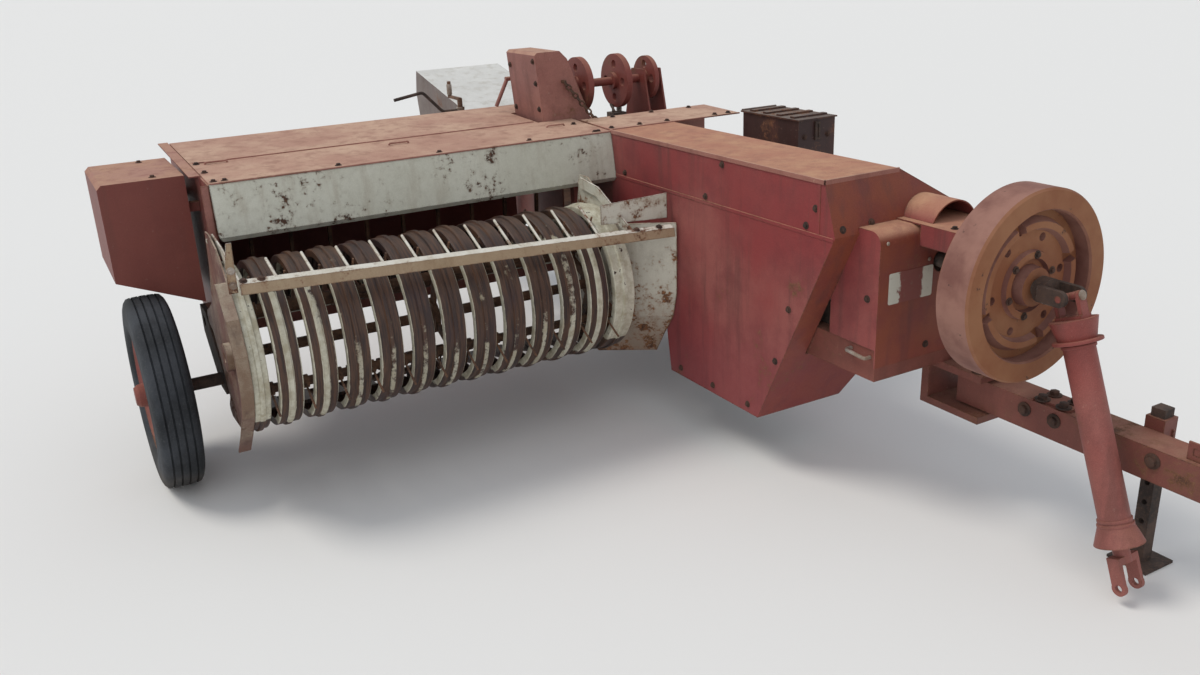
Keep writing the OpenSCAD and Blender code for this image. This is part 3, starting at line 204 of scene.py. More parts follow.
paintLooks = {
    "roofRed": {
        "paint": (0.31, 0.13, 0.1), "bleached": (0.4, 0.2, 0.16), "top": (0.43, 0.25, 0.185),
        "tan": (0.57, 0.39, 0.28), "topDark": (0.31, 0.165, 0.12), "patches": 3.5,
        "mottle": (0.24, 0.1, 0.08), "rustFrom": 0.7, "specks": 0.35, "speck": (0.56, 0.42, 0.3)},
    "sideRed": {
        "paint": (0.25, 0.045, 0.045), "bleached": (0.3, 0.1, 0.085), "mottle": (0.17, 0.038, 0.04),
        "frontTurn": 0.8, "frontTone": (0.22, 0.062, 0.028), "top": (0.42, 0.2, 0.13),
        "tan": (0.52, 0.3, 0.18), "topDark": (0.34, 0.16, 0.11), "specks": 0.2, "rustFrom": 0.69,
        "speck": (0.42, 0.2, 0.14), "grime": 0.45, "grimeTop": 0.62, "edgeRust": 0.2, "streaks": 0.55,
        "stain": (0.11, 0.045, 0.04), "grimy": (0.21, 0.028, 0.04), "mottling": 0.65},
    "endRed": {
        "paint": (0.17, 0.045, 0.036), "bleached": (0.23, 0.085, 0.07), "rustFrom": 0.65,
        "mottle": (0.11, 0.036, 0.03), "top": (0.4, 0.22, 0.17)},
    "shieldRed": {
        "paint": (0.17, 0.045, 0.035), "bleached": (0.2, 0.06, 0.045), "mottle": (0.13, 0.036, 0.03),
        "top": (0.4, 0.22, 0.17), "rustFrom": 0.7, "mottling": 0.35},
    "knotterRed": {
        "paint": (0.24, 0.09, 0.075), "bleached": (0.33, 0.15, 0.12), "mottle": (0.13, 0.05, 0.045),
        "top": (0.45, 0.27, 0.2), "specks": 0.5},
    "discRed": {
        "paint": (0.2, 0.05, 0.04), "bleached": (0.28, 0.1, 0.075), "mottle": (0.12, 0.04, 0.032),
        "rustFrom": 0.64, "dents": 0.0, "paintedSunAmount": 0.4},
    "frameRed": {
        "paint": (0.17, 0.045, 0.035), "bleached": (0.24, 0.08, 0.06), "rustFrom": 0.61,
        "mottle": (0.09, 0.035, 0.028), "lowRust": 0.06, "paintedSunAmount": 0.5, "dents": 0.001},
    "creamPaint": {
        "paint": (0.53, 0.52, 0.43), "bleached": (0.62, 0.61, 0.52), "mottle": (0.42, 0.4, 0.32),
        "mottling": 0.4, "streaks": 0.3, "stain": (0.27, 0.2, 0.13), "rustFrom": 0.612, "edgeRust": 0.26,
        "top": (0.66, 0.63, 0.54), "tan": (0.6, 0.54, 0.42), "topDark": (0.45, 0.38, 0.28),
        "patches": 38.0, "clusterScale": 7.0, "specks": 0.0, "grime": 0.35, "grimeTop": 0.62,
        "grimy": (0.2, 0.12, 0.075), "rustDark": (0.022, 0.015, 0.014), "lowRust": 0.09,
        "rustLight": (0.12, 0.062, 0.038)},
    "speckledCream": {
        "paint": (0.5, 0.48, 0.4), "bleached": (0.6, 0.57, 0.48), "mottle": (0.36, 0.33, 0.27),
        "streaks": 0.3, "stain": (0.25, 0.17, 0.11), "rustFrom": 0.585, "edgeRust": 0.2,
        "top": (0.62, 0.58, 0.48), "tan": (0.5, 0.42, 0.3), "topDark": (0.4, 0.3, 0.2), "patches": 22.0,
        "clusterScale": 6.0, "specks": 0.1, "speck": (0.25, 0.13, 0.07), "grime": 0.75,
        "grimeTop": 0.58, "grimy": (0.16, 0.08, 0.045), "rustLight": (0.24, 0.11, 0.05),
        "lowRust": 0.12},
    "peelingFrame": {
        "paint": (0.1, 0.04, 0.036), "bleached": (0.17, 0.078, 0.06), "mottle": (0.32, 0.26, 0.19),
        "mottling": 0.9, "patches": 9.0, "streaks": 0.6, "stain": (0.06, 0.03, 0.026), "rustFrom": 0.6,
        "edgeRust": 0.1, "top": (0.36, 0.26, 0.2), "tan": (0.5, 0.45, 0.35),
        "topDark": (0.16, 0.09, 0.065), "frontTurn": 0.6, "frontTone": (0.24, 0.17, 0.105), "specks": 0.3,
        "grime": 0.2, "rustLight": (0.12, 0.055, 0.035)},
    # Bale chute: its pale top is painted sunlight and sheen, its dark sides are rust darkened as painted
    # shade
    "chuteSunlitTopShadedSides": {
        "paint": (0.13, 0.1, 0.09), "bleached": (0.22, 0.18, 0.16), "mottle": (0.09, 0.055, 0.04),
        "top": (0.6, 0.59, 0.56), "tan": (0.68, 0.67, 0.64), "topDark": (0.48, 0.45, 0.4),
        "rustFrom": 0.67, "specks": 0.0, "dents": 0.004, "paintedSunAmount": 1.0},
    "barCream": {
        "paint": (0.52, 0.5, 0.42), "bleached": (0.6, 0.58, 0.5), "mottle": (0.36, 0.28, 0.18),
        "mottling": 0.6, "stain": (0.2, 0.12, 0.06), "rustFrom": 0.585, "frontTurn": 0.85,
        "frontTone": (0.3, 0.19, 0.1), "frontTo": spot(0, -0.45, 0).y, "edgeRust": 0.14, "patches": 18.0,
        "top": (0.7, 0.67, 0.6), "tan": (0.62, 0.58, 0.5), "topDark": (0.5, 0.44, 0.34), "specks": 0.1,
        "dents": 0.001, "grime": 0.0},
    "darkPaint": {
        "paint": (0.04, 0.02, 0.019), "bleached": (0.08, 0.045, 0.04), "mottle": (0.03, 0.016, 0.015),
        "rustFrom": 0.62, "top": (0.12, 0.09, 0.08), "tan": (0.24, 0.2, 0.17),
        "topDark": (0.07, 0.05, 0.045)},
    "wheelRed": {
        "paint": (0.24, 0.05, 0.04), "bleached": (0.32, 0.11, 0.08), "rustFrom": 0.6, "dents": 0.0,
        "paintedSunAmount": 0.2},
    "shaftRed": {
        "paint": (0.23, 0.05, 0.042), "bleached": (0.31, 0.11, 0.09), "dents": 0.0, "paintedSunAmount": 0.3,
        "grime": 0.1},
}
finishes = {name: wornPaint(name, {**paintDefaults, **look}) for name, look in paintLooks.items()}
print("paints made:", len(finishes))


# Bare steel and castings: brown rust with darker oil and brighter rubbed places
def rustySteel(name, look):
    s = Surface(name)
    patches, grit = s.noise(look["patches"], 8, 0.65), s.noise(120, 6, 0.7)
    rust = s.blend(s.mask(patches, 0.34, 0.66), look["dark"], look["light"])
    rust = s.tint(rust, look["speck"], s.mask(grit, 0.45, 0.75), 0.6)
    shine = s.plus(s.times(s.edgeWear(look["edgeRadius"]), look["edgeShine"]), patches)
    rubbed = s.mask(shine, look["shineFrom"], look["shineFrom"] + 0.12)
    relief = s.plus(s.times(grit, 0.0009), s.times(patches, 0.0012))
    return s.finish(s.blend(rubbed, rust, look["metal"]), s.ranged(rubbed, 0.82, 0.38), relief, 0.7,
                    metallic=s.times(rubbed, 0.8))


steelDefaults = {"patches": 12.0, "dark": (0.045, 0.025, 0.018), "light": (0.16, 0.08, 0.045),
                 "speck": (0.26, 0.12, 0.055), "metal": (0.4, 0.36, 0.32), "edgeRadius": 0.004,
                 "edgeShine": 0.12, "shineFrom": 0.72}
steelLooks = {
    "brownRust": {},
    "darkSteel": {"dark": (0.02, 0.014, 0.012), "light": (0.075, 0.045, 0.034), "speck": (0.12, 0.065, 0.04)},
    "wornSteel": {"dark": (0.34, 0.3, 0.25), "light": (0.6, 0.56, 0.5), "speck": (0.36, 0.25, 0.17),
                  "metal": (0.68, 0.66, 0.62), "shineFrom": 0.55, "patches": 5.0},
    "casting": {"dark": (0.04, 0.033, 0.03), "light": (0.14, 0.1, 0.08), "speck": (0.2, 0.13, 0.09)},
    "brightBolt": {"dark": (0.14, 0.09, 0.06), "light": (0.35, 0.28, 0.22), "shineFrom": 0.5},
    "boltRust": {"dark": (0.022, 0.013, 0.01), "light": (0.07, 0.032, 0.02), "speck": (0.12, 0.05, 0.03),
                 "shineFrom": 0.95},
}
for name, look in steelLooks.items():
    finishes[name] = rustySteel(name, {**steelDefaults, **look})
print("steels made")


def weatheredRubber(name, look):
    s = Surface(name)
    broad, grit, cracks = s.noise(5), s.noise(160, 6, 0.7), s.noise(1, 6, 0.75, look["runs"])
    colour = s.blend(s.mask(broad, 0.35, 0.7), look["rubber"], look["grey"])
    colour = s.tint(colour, look["dust"], s.mask(grit, 0.5, 0.8), 0.5)
    mud = s.times(s.mask(s.place["Z"], look["mudTop"], 0.0), s.mask(broad, 0.3, 0.6))
    colour = s.tint(colour, look["mud"], mud, 0.6)
    relief = s.plus(s.times(grit, 0.0006), s.times(cracks, 0.0016))
    return s.finish(colour, 0.78, relief, 0.6, gloss=0.25)


rubberLook = {"rubber": (0.018, 0.02, 0.023), "grey": (0.05, 0.055, 0.064), "dust": (0.11, 0.11, 0.11),
              "mud": (0.16, 0.12, 0.08), "mudTop": 0.16, "runs": (60, 14, 14)}
finishes["rubber"] = weatheredRubber("rubber", rubberLook)


# Stripper bands: cream left on the ribs and edges, brown steel where the crop has rubbed the cream off, and
# steel colour high up as painted shade behind the guard
def wornBands(name, look):
    s = Surface(name)
    height, last = s.place["Z"], look["last"]
    broad, patches = s.noise(3.5, 4, 0.6), s.noise(26, 8, 0.7)
    scuffs = s.noise(1, 6, 0.7, look["runs"])
    turns = s.compute("DIVIDE", s.plus(s.place["X"], -look["firstBand"]), look["pitch"])
    wrapped = s.compute("FRACT", s.plus(turns, 20.5))
    aside = s.times(s.compute("ABSOLUTE", s.plus(wrapped, -0.5)), look["pitch"])
    aside = s.plus(aside, s.sway(scuffs, 0.008))
    rib, edge = look["ribHalf"], look["edgeFrom"]
    groove = s.times(s.mask(aside, rib, rib + 0.004), s.mask(aside, edge + 0.003, edge - 0.001))
    middle = s.times(s.mask(turns, 0.3, 1.6), s.mask(turns, last + 0.6, last - 1.8))
    rims = s.mask(aside, edge + 0.002, edge + 0.004)
    ribs = s.times(s.mask(aside, rib + 0.001, rib - 0.003), s.mask(height, 0.66, 0.44))
    kept = s.plus(look["middleWear"], s.times(rims, -look["rimKept"]), s.times(ribs, -look["ribKept"]))
    dark = s.most(groove, s.times(middle, kept))
    # Above 0.7–0.8 m the steel colour is painted shade behind the guard; darker towards the bottom as well
    dark = s.most(dark, s.most(s.times(s.mask(height, 0.7, 0.8), 0.75), s.mask(height, 0.36, 0.29)))
    ends = s.most(s.mask(turns, -0.45, -0.5), s.mask(turns, last + 0.5, last + 0.56))
    dark = s.blend(ends, dark, s.most(s.mask(height, 0.39, 0.35), s.mask(patches, 0.62, 0.68)))
    wearAndShade = s.mask(s.plus(dark, s.sway(patches, 1.1), s.sway(broad, 0.7)), 0.4, 0.56)
    cream = s.blend(s.mask(patches, 0.35, 0.65), look["creamDirty"], look["cream"])
    steel = s.blend(s.mask(scuffs, 0.35, 0.65), look["dark"], look["brown"])
    steel = s.tint(steel, look["purple"], s.mask(broad, 0.45, 0.7), 0.6)
    relief = s.plus(s.times(patches, 0.0012), s.times(wearAndShade, -0.0004))
    return s.finish(s.blend(wearAndShade, cream, steel), s.ranged(wearAndShade, 0.6, 0.48), relief, 0.7, gloss=0.4)


bandLook = {"firstBand": spot(-1.396, 0, 0).x, "pitch": 0.106, "last": 10, "ribHalf": 0.009,
            "edgeFrom": 0.0315, "middleWear": 0.72, "rimKept": 0.42, "ribKept": 0.24,
            "runs": (160, 9, 9), "cream": (0.55, 0.53, 0.43), "creamDirty": (0.36, 0.32, 0.23),
            "dark": (0.022, 0.013, 0.012), "brown": (0.09, 0.043, 0.024), "purple": (0.04, 0.022, 0.028)}
finishes["wornBands"] = wornBands("wornBands", bandLook)


# Flywheel: rings of rust and old paint about its axis, and a dark ring of painted shade in the recess inside
# its rim
def ringRust(name, look):
    s = Surface(name)
    centred = s.centred(look["middle"], (1, 0, 1))
    radius = s.add("VectorMath", {0: centred}, operation="LENGTH").outputs["Value"]
    broad, patches, grit = s.noise(5), s.noise(17, 8, 0.68), s.noise(90, 6, 0.7)
    radius = s.plus(radius, s.sway(patches, 0.02))
    rim, recess, hub = look["rimFrom"], look["recessFrom"], look["hubTo"]
    colour = s.blend(s.mask(patches, 0.36, 0.66), look["web"], look["webLight"])
    # The recess colour is painted shade inside the rim
    colour = s.tint(colour, look["recess"], s.mask(radius, recess - 0.003, recess + 0.003),
                    s.mask(radius, rim, rim - 0.006))
    colour = s.blend(s.mask(radius, hub + 0.003, hub - 0.003), colour, look["hub"])
    face = s.blend(s.mask(broad, 0.36, 0.66), look["rimFace"], look["rimLight"])
    colour = s.blend(s.mask(radius, rim - 0.004, rim + 0.004), colour, face)
    sides = s.blend(s.mask(broad, 0.34, 0.62), look["side"], look["sidePale"])
    flank = s.plus(1.0, s.times(s.mask(s.compute("ABSOLUTE", s.facing()["Y"]), 0.4, 0.8), -1.0))
    colour = s.tint(colour, sides, s.mask(radius, look["outside"] - 0.006, look["outside"]), flank)
    flaked = s.mask(s.plus(s.times(patches, 0.6), s.times(grit, 0.4)), 0.6, 0.64)
    colour = s.tint(colour, look["flake"], flaked, 0.85)
    relief = s.plus(s.times(grit, 0.0008), s.times(flaked, -0.0006))
    return s.finish(colour, 0.7, relief, 0.7, gloss=0.3)


flywheelLook = {"middle": spot(0.335, 0, 0.774), "rimFrom": 0.211, "outside": 0.266, "recessFrom": 0.178,
                "hubTo": 0.098, "web": (0.2, 0.06, 0.03), "webLight": (0.32, 0.12, 0.055),
                "recess": (0.045, 0.025, 0.026), "hub": (0.18, 0.06, 0.045), "rimFace": (0.22, 0.08, 0.036),
                "rimLight": (0.28, 0.125, 0.06), "side": (0.17, 0.07, 0.055), "sidePale": (0.3, 0.15, 0.115),
                "flake": (0.06, 0.032, 0.025)}
finishes["flywheelRust"] = ringRust("flywheelRust", flywheelLook)


# Pale patch where a label was, rubbed through to the red in its middle
def rubbedLabel(name, look):
    s = Surface(name)
    centred = s.add("SeparateXYZ", {0: s.centred(look["middle"])}).outputs
    patches = s.noise(60, 7, 0.75)
    across = s.mask(s.compute("ABSOLUTE", centred["X"]), look["rubbedHalf"], 0.0)
    rubbed = s.mask(s.plus(across, s.plus(patches, -0.5)), 0.3, 0.42)
    colour = s.blend(rubbed, look["pale"], look["red"])
    colour = s.tint(colour, look["dirt"], s.mask(patches, 0.55, 0.7), 0.5)
    return s.finish(colour, 0.75, s.times(patches, 0.0004), 0.5)


labelLook = {"middle": spot(0.213, 0, 0), "rubbedHalf": 0.075, "pale": (0.55, 0.54, 0.46),
             "red": (0.2, 0.06, 0.05), "dirt": (0.2, 0.13, 0.1)}
finishes["rubbedLabel"] = rubbedLabel("rubbedLabel", labelLook)

nodeFinishes = {
    "sideRed": "crank_housing gearbox_guard gearbox_top_covers",
    "roofRed": "hood_roof",
    "shieldRed": "drive_shield",
    "knotterRed": "knotter_shield trip_arm",
    "discRed": "knotter_shaft knotter_frame",
    "endRed": "feeder_end_wall chamber_sides feeder_pan",
    "frameRed": "main_frame tongue hitch_clevis chamber_top",
    "creamPaint": "hood_front_panel",
    "peelingFrame": "pickup_frame",
    "speckledCream": "pickup_flare_plate",
    "barCream": "wind_guard",
    "wornBands": "stripper_bands",
    "darkPaint": "twine_box twine_box_lid",
    "wheelRed": "right_rim left_rim",
    "flywheelRust": "flywheel",
    "shaftRed": "drive_shaft",
    "brownRust": "chamber_floor feeder_fingers pickup_reel drive_chain needles tension_gear metering_wheel",
    "darkSteel": "right_spindle left_spindle input_yoke stand_leg",
    "chuteSunlitTopShadedSides": "bale_chute",
    "wornSteel": "plunger",
    "casting": "gearbox knotters",
    "rubber": "right_tyre left_tyre",
}
for finish, names in nodeFinishes.items():
    for name in names.split():
        nodes[name].data.materials.clear()
        nodes[name].data.materials.append(finishes[finish])
print("nodes painted")


# Modelling helpers


def editMode(on):
    bpy.ops.object.mode_set(mode="EDIT" if on else "OBJECT")


def settle():  # the transform of what is selected goes into its mesh
    bpy.ops.object.transform_apply(location=True, rotation=True, scale=True)


def choose(pieces):  # only these selected, the first one active, in object mode
    if bpy.context.mode == "EDIT_MESH":
        editMode(False)
    bpy.ops.object.select_all(action="DESELECT")
    for piece in pieces:
        piece.select_set(True)
    bpy.context.view_layer.objects.active = pieces[0]


def editWhole(piece):  # edit mode, with everything selected
    choose([piece])
    editMode(True)
    bpy.ops.mesh.select_all(action="SELECT")


def pickNone(piece, kind):  # edit mode for faces or edges, with nothing selected, and out again
    choose([piece])
    editMode(True)
    bpy.ops.mesh.select_mode(type=kind)
    bpy.ops.mesh.select_all(action="DESELECT")
    editMode(False)


def pickFaces(piece, wanted):  # edit mode, with the faces selected whose middle and normal pass the test
    pickNone(piece, "FACE")
    for face in piece.data.polygons:
        face.select = wanted(face.center, face.normal)
    editMode(True)


def reshape(piece, wanted, inset=0.0, move=None, draw=None, bevel=0.0):  # on the faces that pass the test
    pickFaces(piece, wanted)
    if inset:
        bpy.ops.mesh.inset(thickness=inset)
    if move:
        bpy.ops.transform.translate(value=move)
    if draw:
        bpy.ops.mesh.extrude_region_move(TRANSFORM_OT_translate={"value": draw})
    if bevel:
        bpy.ops.mesh.bevel(offset=bevel, segments=2, affect="EDGES")
    editMode(False)
    return piece


def startBlock(low, high, bevel=0.0):  # a block between two spots, its edges chamfered
    low, high = spot(*low), spot(*high)
    bpy.ops.mesh.primitive_cube_add(size=1, location=(low + high) / 2, scale=high - low)
    piece = bpy.context.object
    settle()
    if bevel:
        editWhole(piece)
        bpy.ops.mesh.bevel(offset=bevel, segments=1, affect="EDGES")
        editMode(False)
    return piece


def startRound(radius, depth, sides, middle=(0, 0, 0), turn=(0, 0, 0)):
    bpy.ops.mesh.primitive_cylinder_add(vertices=sides, radius=radius, depth=depth, location=middle,
                                        rotation=turn)
    settle()
    return bpy.context.object


def startLine(points):  # edges from point to point, left in edit mode with everything selected
    bpy.ops.mesh.primitive_plane_add(size=0.01, location=points[0])
    editMode(True)
    bpy.ops.mesh.merge(type="CENTER")
    bpy.ops.mesh.select_mode(type="VERT")
    bpy.ops.mesh.select_all(action="SELECT")
    for start, end in zip(points, points[1:]):
        bpy.ops.mesh.extrude_region_move(TRANSFORM_OT_translate={"value": end - start})
    bpy.ops.mesh.select_all(action="SELECT")
    return bpy.context.object


def joined(parts):
    choose(parts)
    if len(parts) > 1:
        bpy.ops.object.join()
    return bpy.context.object


def finishPiece(piece, name, body, finish, angle=35):
    editWhole(piece)
    bpy.ops.mesh.normals_make_consistent(inside=False)
    editMode(False)
    settle()
    bpy.ops.object.shade_smooth_by_angle(angle=math.radians(angle))
    piece.name = name
    piece.data.materials.clear()
    piece.data.materials.append(finishes[finish])
    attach(piece, body)
    return piece


def placedCopies(model, places):  # a copy of the model at each place, all in one object
    copies = []
    for place in places:
        copy = model.copy()
        copy.data = model.data.copy()
        bpy.context.collection.objects.link(copy)
        copy.matrix_world = place
        copies.append(copy)
    choose(copies)
    settle()
    return joined(copies)


def turned(place, direction, ahead, up):  # the place and turn that point the model's ahead axis that way
    return Matrix.Translation(place) @ direction.to_track_quat(ahead, up).to_matrix().to_4x4()


def seatCopies(model, seats):  # a copy of the model at each seat, its top along the normal
    return placedCopies(model, [turned(place, normal, "Z", "Y") for place, normal in seats])


def onSurface(name, start, direction):  # where a ray meets a node, and which way the surface faces there
    struck, place, normal, index = nodes[name].ray_cast(start, Vector(direction))
    if not struck:
        print("no surface of", name, "from", tuple(round(value, 3) for value in start - datum))
        return []
    return [(place, normal)]


def seatsOn(name, way, lines):  # evenly spaced seats along each line
    direction, axis, begin = way
    seats = []
    for a, b, lastA, lastB, count in lines:
        for k in range(count):
            part = k / max(count - 1, 1)
            place = [a + (lastA - a) * part, b + (lastB - b) * part]
            place.insert(axis, begin)
            seats += onSurface(name, spot(*place), direction)
    return seats


def seatOn(name, way, a, b):
    return seatsOn(name, way, [(a, b, a, b, 1)])


def around(count, shift):  # cosine and sine of evenly spaced angles
    angles = [math.tau * k / count + shift for k in range(count)]
    return [(math.cos(angle), math.sin(angle)) for angle in angles]


def upward(middle, normal):
    return normal.z > 0.9


def downward(middle, normal):
    return normal.z < -0.9


def frontal(middle, normal):
    return normal.y < -0.9


def sideways(middle, normal):
    return abs(normal.z) < 0.5


# Bolts: a chamfered hexagon on its washer, and a domed rivet
boltLook = {"radius": 0.0075, "head": 0.0055, "washer": 0.0115, "washerHigh": 0.002, "chamfer": 0.0015,
            "washerChamfer": 0.0008, "sink": 0.0006, "large": 1.9}
rivetLook = {"radius": 0.006, "height": 0.003}


def modelBolt(look, size=1.0):
    chamfer, rim = look["chamfer"] * size, look["washerChamfer"] * size
    middle = (look["washerHigh"] + look["head"] / 2) * size - look["sink"]
    head = startRound(look["radius"] * size, look["head"] * size, 6, (0, 0, middle))
    reshape(head, upward, inset=chamfer, move=(0, 0, chamfer * 0.6))
    middle = look["washerHigh"] * size / 2 - look["sink"]
    washer = startRound(look["washer"] * size, look["washerHigh"] * size, 16, (0, 0, middle))
    reshape(washer, upward, inset=rim, move=(0, 0, rim / 2))
    return joined([head, washer])


def modelRivet(look):
    bpy.ops.mesh.primitive_uv_sphere_add(segments=12, ring_count=8, radius=look["radius"])
    rivet = bpy.context.object
    pickFaces(rivet, lambda middle, normal: middle.z < 0)
    bpy.ops.mesh.delete(type="FACE")
    editWhole(rivet)
    bpy.ops.transform.resize(value=(1, 1, look["height"] / look["radius"]))
    bpy.ops.mesh.select_mode(type="EDGE")
    bpy.ops.mesh.select_all(action="DESELECT")
    bpy.ops.mesh.select_non_manifold()
    bpy.ops.mesh.edge_face_add()
    editMode(False)
    return rivet


bolt = modelBolt(boltLook)
largeBolt = modelBolt(boltLook, boltLook["large"])
rivet = modelRivet(rivetLook)

# Ways to look at a node: the direction, its axis, and where the rays start along it
down, rearward, forward = ((0, 0, -1), 2, 1.4), ((0, 1, 0), 1, -2.0), ((0, -1, 0), 1, 1.2)
inward, outward, framed = ((1, 0, 0), 0, -1.75), ((-1, 0, 0), 0, 1.2), ((1, 0, 0), 0, 0.2)

# Each row: node, way to look, lines of seats. A line: first point, last point, count, without the way's axis
boltRows = {
    "hoodBolts": (bolt, "machine", "boltRust", [
        ("hood_roof", down, [(-1.412, 0.022, -1.412, 0.022, 1), (-1.446, 0.027, -1.446, 0.318, 3),
                             (-1.042, 0.025, -0.683, 0.022, 2), (-0.334, 0.02, -0.045, 0.02, 2),
                             (-0.06, 0.02, -0.052, 0.203, 2), (0.016, 0.025, 0.267, 0.025, 3),
                             (0.494, 0.025, 0.56, 0.025, 2), (0.138, 0.225, 0.504, 0.225, 3)]),
        ("drive_shield", down, [(-1.6, 0.23, -1.6, 0.56, 2)]),
        ("feeder_end_wall", inward, [(0.16, 0.68, 0.16, 0.5, 2), (0.28, 0.52, 0.38, 0.52, 2)]),
        ("feeder_pan", forward, [(-1.3, 0.94, -0.4, 0.94, 5), (-1.3, 0.6, -0.4, 0.6, 4)])]),
    "housingBolts": (bolt, "machine", "boltRust", [
        ("crank_housing", inward, [(-1.17, 0.948, -1.13, 0.89, 2), (-0.713, 1.008, -0.713, 1.008, 1),
                                   (-0.62, 0.888, -0.1, 0.888, 2), (-1.06, 0.61, -1.0, 0.42, 2),
                                   (-0.86, 0.22, -0.46, 0.22, 3)]),
        ("crank_housing", rearward, [(0.03, 0.895, 0.14, 0.9, 2)]),
        ("crank_housing", outward, [(-1.05, 0.8, -0.15, 0.8, 4), (-0.95, 0.5, -0.15, 0.5, 3)]),
        ("gearbox_guard", rearward, [(0.4, 0.83, 0.46, 0.83, 2), (0.29, 0.52, 0.46, 0.52, 2)]),
        ("gearbox_guard", inward, [(-1.3, 0.69, -1.3, 0.69, 1)]),
        ("gearbox_top_covers", down, [(0.27, -1.44, 0.43, -1.44, 2)])]),
    "chamberBolts": (bolt, "machine", "boltRust", [
        ("chamber_sides", inward, [(0.6, 0.9, 1.75, 0.9, 8), (0.62, 0.57, 1.75, 0.57, 7)]),
        ("chamber_sides", outward, [(0.35, 0.9, 1.75, 0.9, 9), (0.35, 0.57, 1.75, 0.57, 9),
                                    (-0.05, 0.85, 0.15, 0.85, 2)]),
        ("knotter_frame", outward, [(0.47, 0.99, 0.57, 0.99, 2), (0.49, 1.08, 0.55, 1.08, 2)])]),
    "guardRivets": (rivet, "machine", "brightBolt", [
        ("gearbox_guard", rearward, [(0.343, 0.816, 0.372, 0.818, 2), (0.282, 0.787, 0.282, 0.787, 1),
                                     (0.34, 0.67, 0.34, 0.67, 1), (0.115, 0.86, 0.115, 0.86, 1)])]),
    "windGuardBolts": (bolt, "guard", "boltRust", [
        ("wind_guard", down, [(-1.49, -0.478, -1.44, -0.478, 2), (-0.19, -0.478, -0.1, -0.478, 2)])]),
    "shieldBolts": (bolt, "machine", "boltRust", [
        ("knotter_shield", inward, [(0.336, 1.09, 0.336, 1.19, 2), (0.336, 1.275, 0.336, 1.275, 1),
                                    (0.55, 1.08, 0.55, 1.25, 2)])]),
    "twineBoxBolts": (bolt, "machine", "boltRust", [
        ("twine_box", rearward, [(0.55, 1.0, 0.66, 1.0, 2)])]),
    "tongueBolts": (largeBolt, "tongue", "boltRust", [
        ("tongue", down, [(0.43, -1.665, 0.48, -1.665, 2), (0.43, -1.735, 0.48, -1.735, 2)]),
        ("tongue", inward, [(-1.62, 0.375, -1.72, 0.375, 2), (-2.02, 0.375, -2.45, 0.375, 2)])]),
    "frameBolts": (largeBolt, "machine", "boltRust", [
        ("main_frame", down, [(0.4, -1.46, 0.53, -1.46, 2)]),
        ("main_frame", framed, [(-1.3, 0.46, -1.3, 0.51, 2)])]),
}


def setRows(*names):
    for name in names:
        model, body, finish, rows = boltRows[name]
        seats = [seat for row in rows for seat in seatsOn(*row)]
        finishPiece(seatCopies(model, seats), name, body, finish)


setRows("hoodBolts", "housingBolts", "chamberBolts", "guardRivets")
print("sheet bolts and rivets set")

nutLook = {"count": 6, "turn": math.tau * 0.05, "ring": 0.084, "reach": 0.3}
for side, body, way in (("right", "right_wheel", 1), ("left", "left_wheel", -1)):
    low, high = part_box(side + "_rim")
    seats = []
    for c, s in around(nutLook["count"], nutLook["turn"]):
        start = (low + high) / 2 + Vector((-way * nutLook["reach"], nutLook["ring"] * c, nutLook["ring"] * s))
        seats += onSurface(side + "_rim", start, (way, 0, 0))
    finishPiece(seatCopies(largeBolt, seats), side + "WheelNuts", body, "boltRust")
print("wheel nuts set")


# Seams of the crank housing: a lap along its right face and down its front corner
seamLook = {"thick": 0.0022, "sunk": 0.0006, "strips": [((-1.248, 0.862), (-0.03, 0.874)),
                                                        ((-1.19, 0.874), (-1.178, 1.034))]}
seams = [startBlock((-lipOut - seamLook["thick"], *low), (-lipOut + seamLook["sunk"], *high),
                    seamLook["thick"] * 0.4) for low, high in seamLook["strips"]]
finishPiece(joined(seams), "housingSeams", "machine", "sideRed")

# Lips: round the housing's top, and along the front edges of the roof and of the plate over the chamber
lipRows = [((-0.008, -1.209, 1.022), (-0.0035, -0.002, 1.037), 0.0012),
           ((-0.008, -1.209, 1.022), (0.2795, -1.204, 1.037), 0.0012),
           ((-1.462, -0.009, 1.0275), (-0.006, 0.003, 1.0335), 0.0012),
           ((0.002, -0.004, 1.0335), (0.598, 0.003, 1.0385), 0.001)]
lips = [startBlock(*row) for row in lipRows]
finishPiece(joined(lips), "sheetLips", "machine", "roofRed")


# Rubbed label on the guard's front, its corners worn round
labelSize = {"x": (0.127, 0.3), "z": (0.674, 0.768), "thick": 0.0012, "sunk": 0.0004, "corner": 0.006}
front = seatOn("gearbox_guard", rearward, 0.2, 0.72)[0][0].y - datum.y
label = startBlock((labelSize["x"][0], front - labelSize["thick"], labelSize["z"][0]),
                   (labelSize["x"][1], front + labelSize["sunk"], labelSize["z"][1]))
pickNone(label, "EDGE")
for edge in label.data.edges:
    start, end = [label.data.vertices[index].co for index in edge.vertices]
    edge.select = abs(start.y - end.y) > 0.001
editMode(True)
bpy.ops.mesh.bevel(offset=labelSize["corner"], segments=4, affect="EDGES")
finishPiece(label, "rubbedPatch", "machine", "rubbedLabel")


def closeEnds(piece):  # merges the caps with the tube, and fills what is open
    editWhole(piece)
    bpy.ops.mesh.remove_doubles(threshold=0.00001)
    bpy.ops.mesh.fill_holes(sides=0)
    editMode(False)
    return piece


# Bent round rod through a few points, its ends closed
def bentRod(points, radius):
    rod = startLine(points)
    bpy.ops.mesh.bevel(offset=radius * 1.6, segments=4, affect="VERTICES")
    editMode(False)
    settle()
    bpy.ops.object.convert(target="CURVE")
    rod.data.bevel_depth = radius
    rod.data.bevel_resolution = 2
    rod.data.use_fill_caps = True
    bpy.ops.object.convert(target="MESH")
    return closeEnds(bpy.context.object)


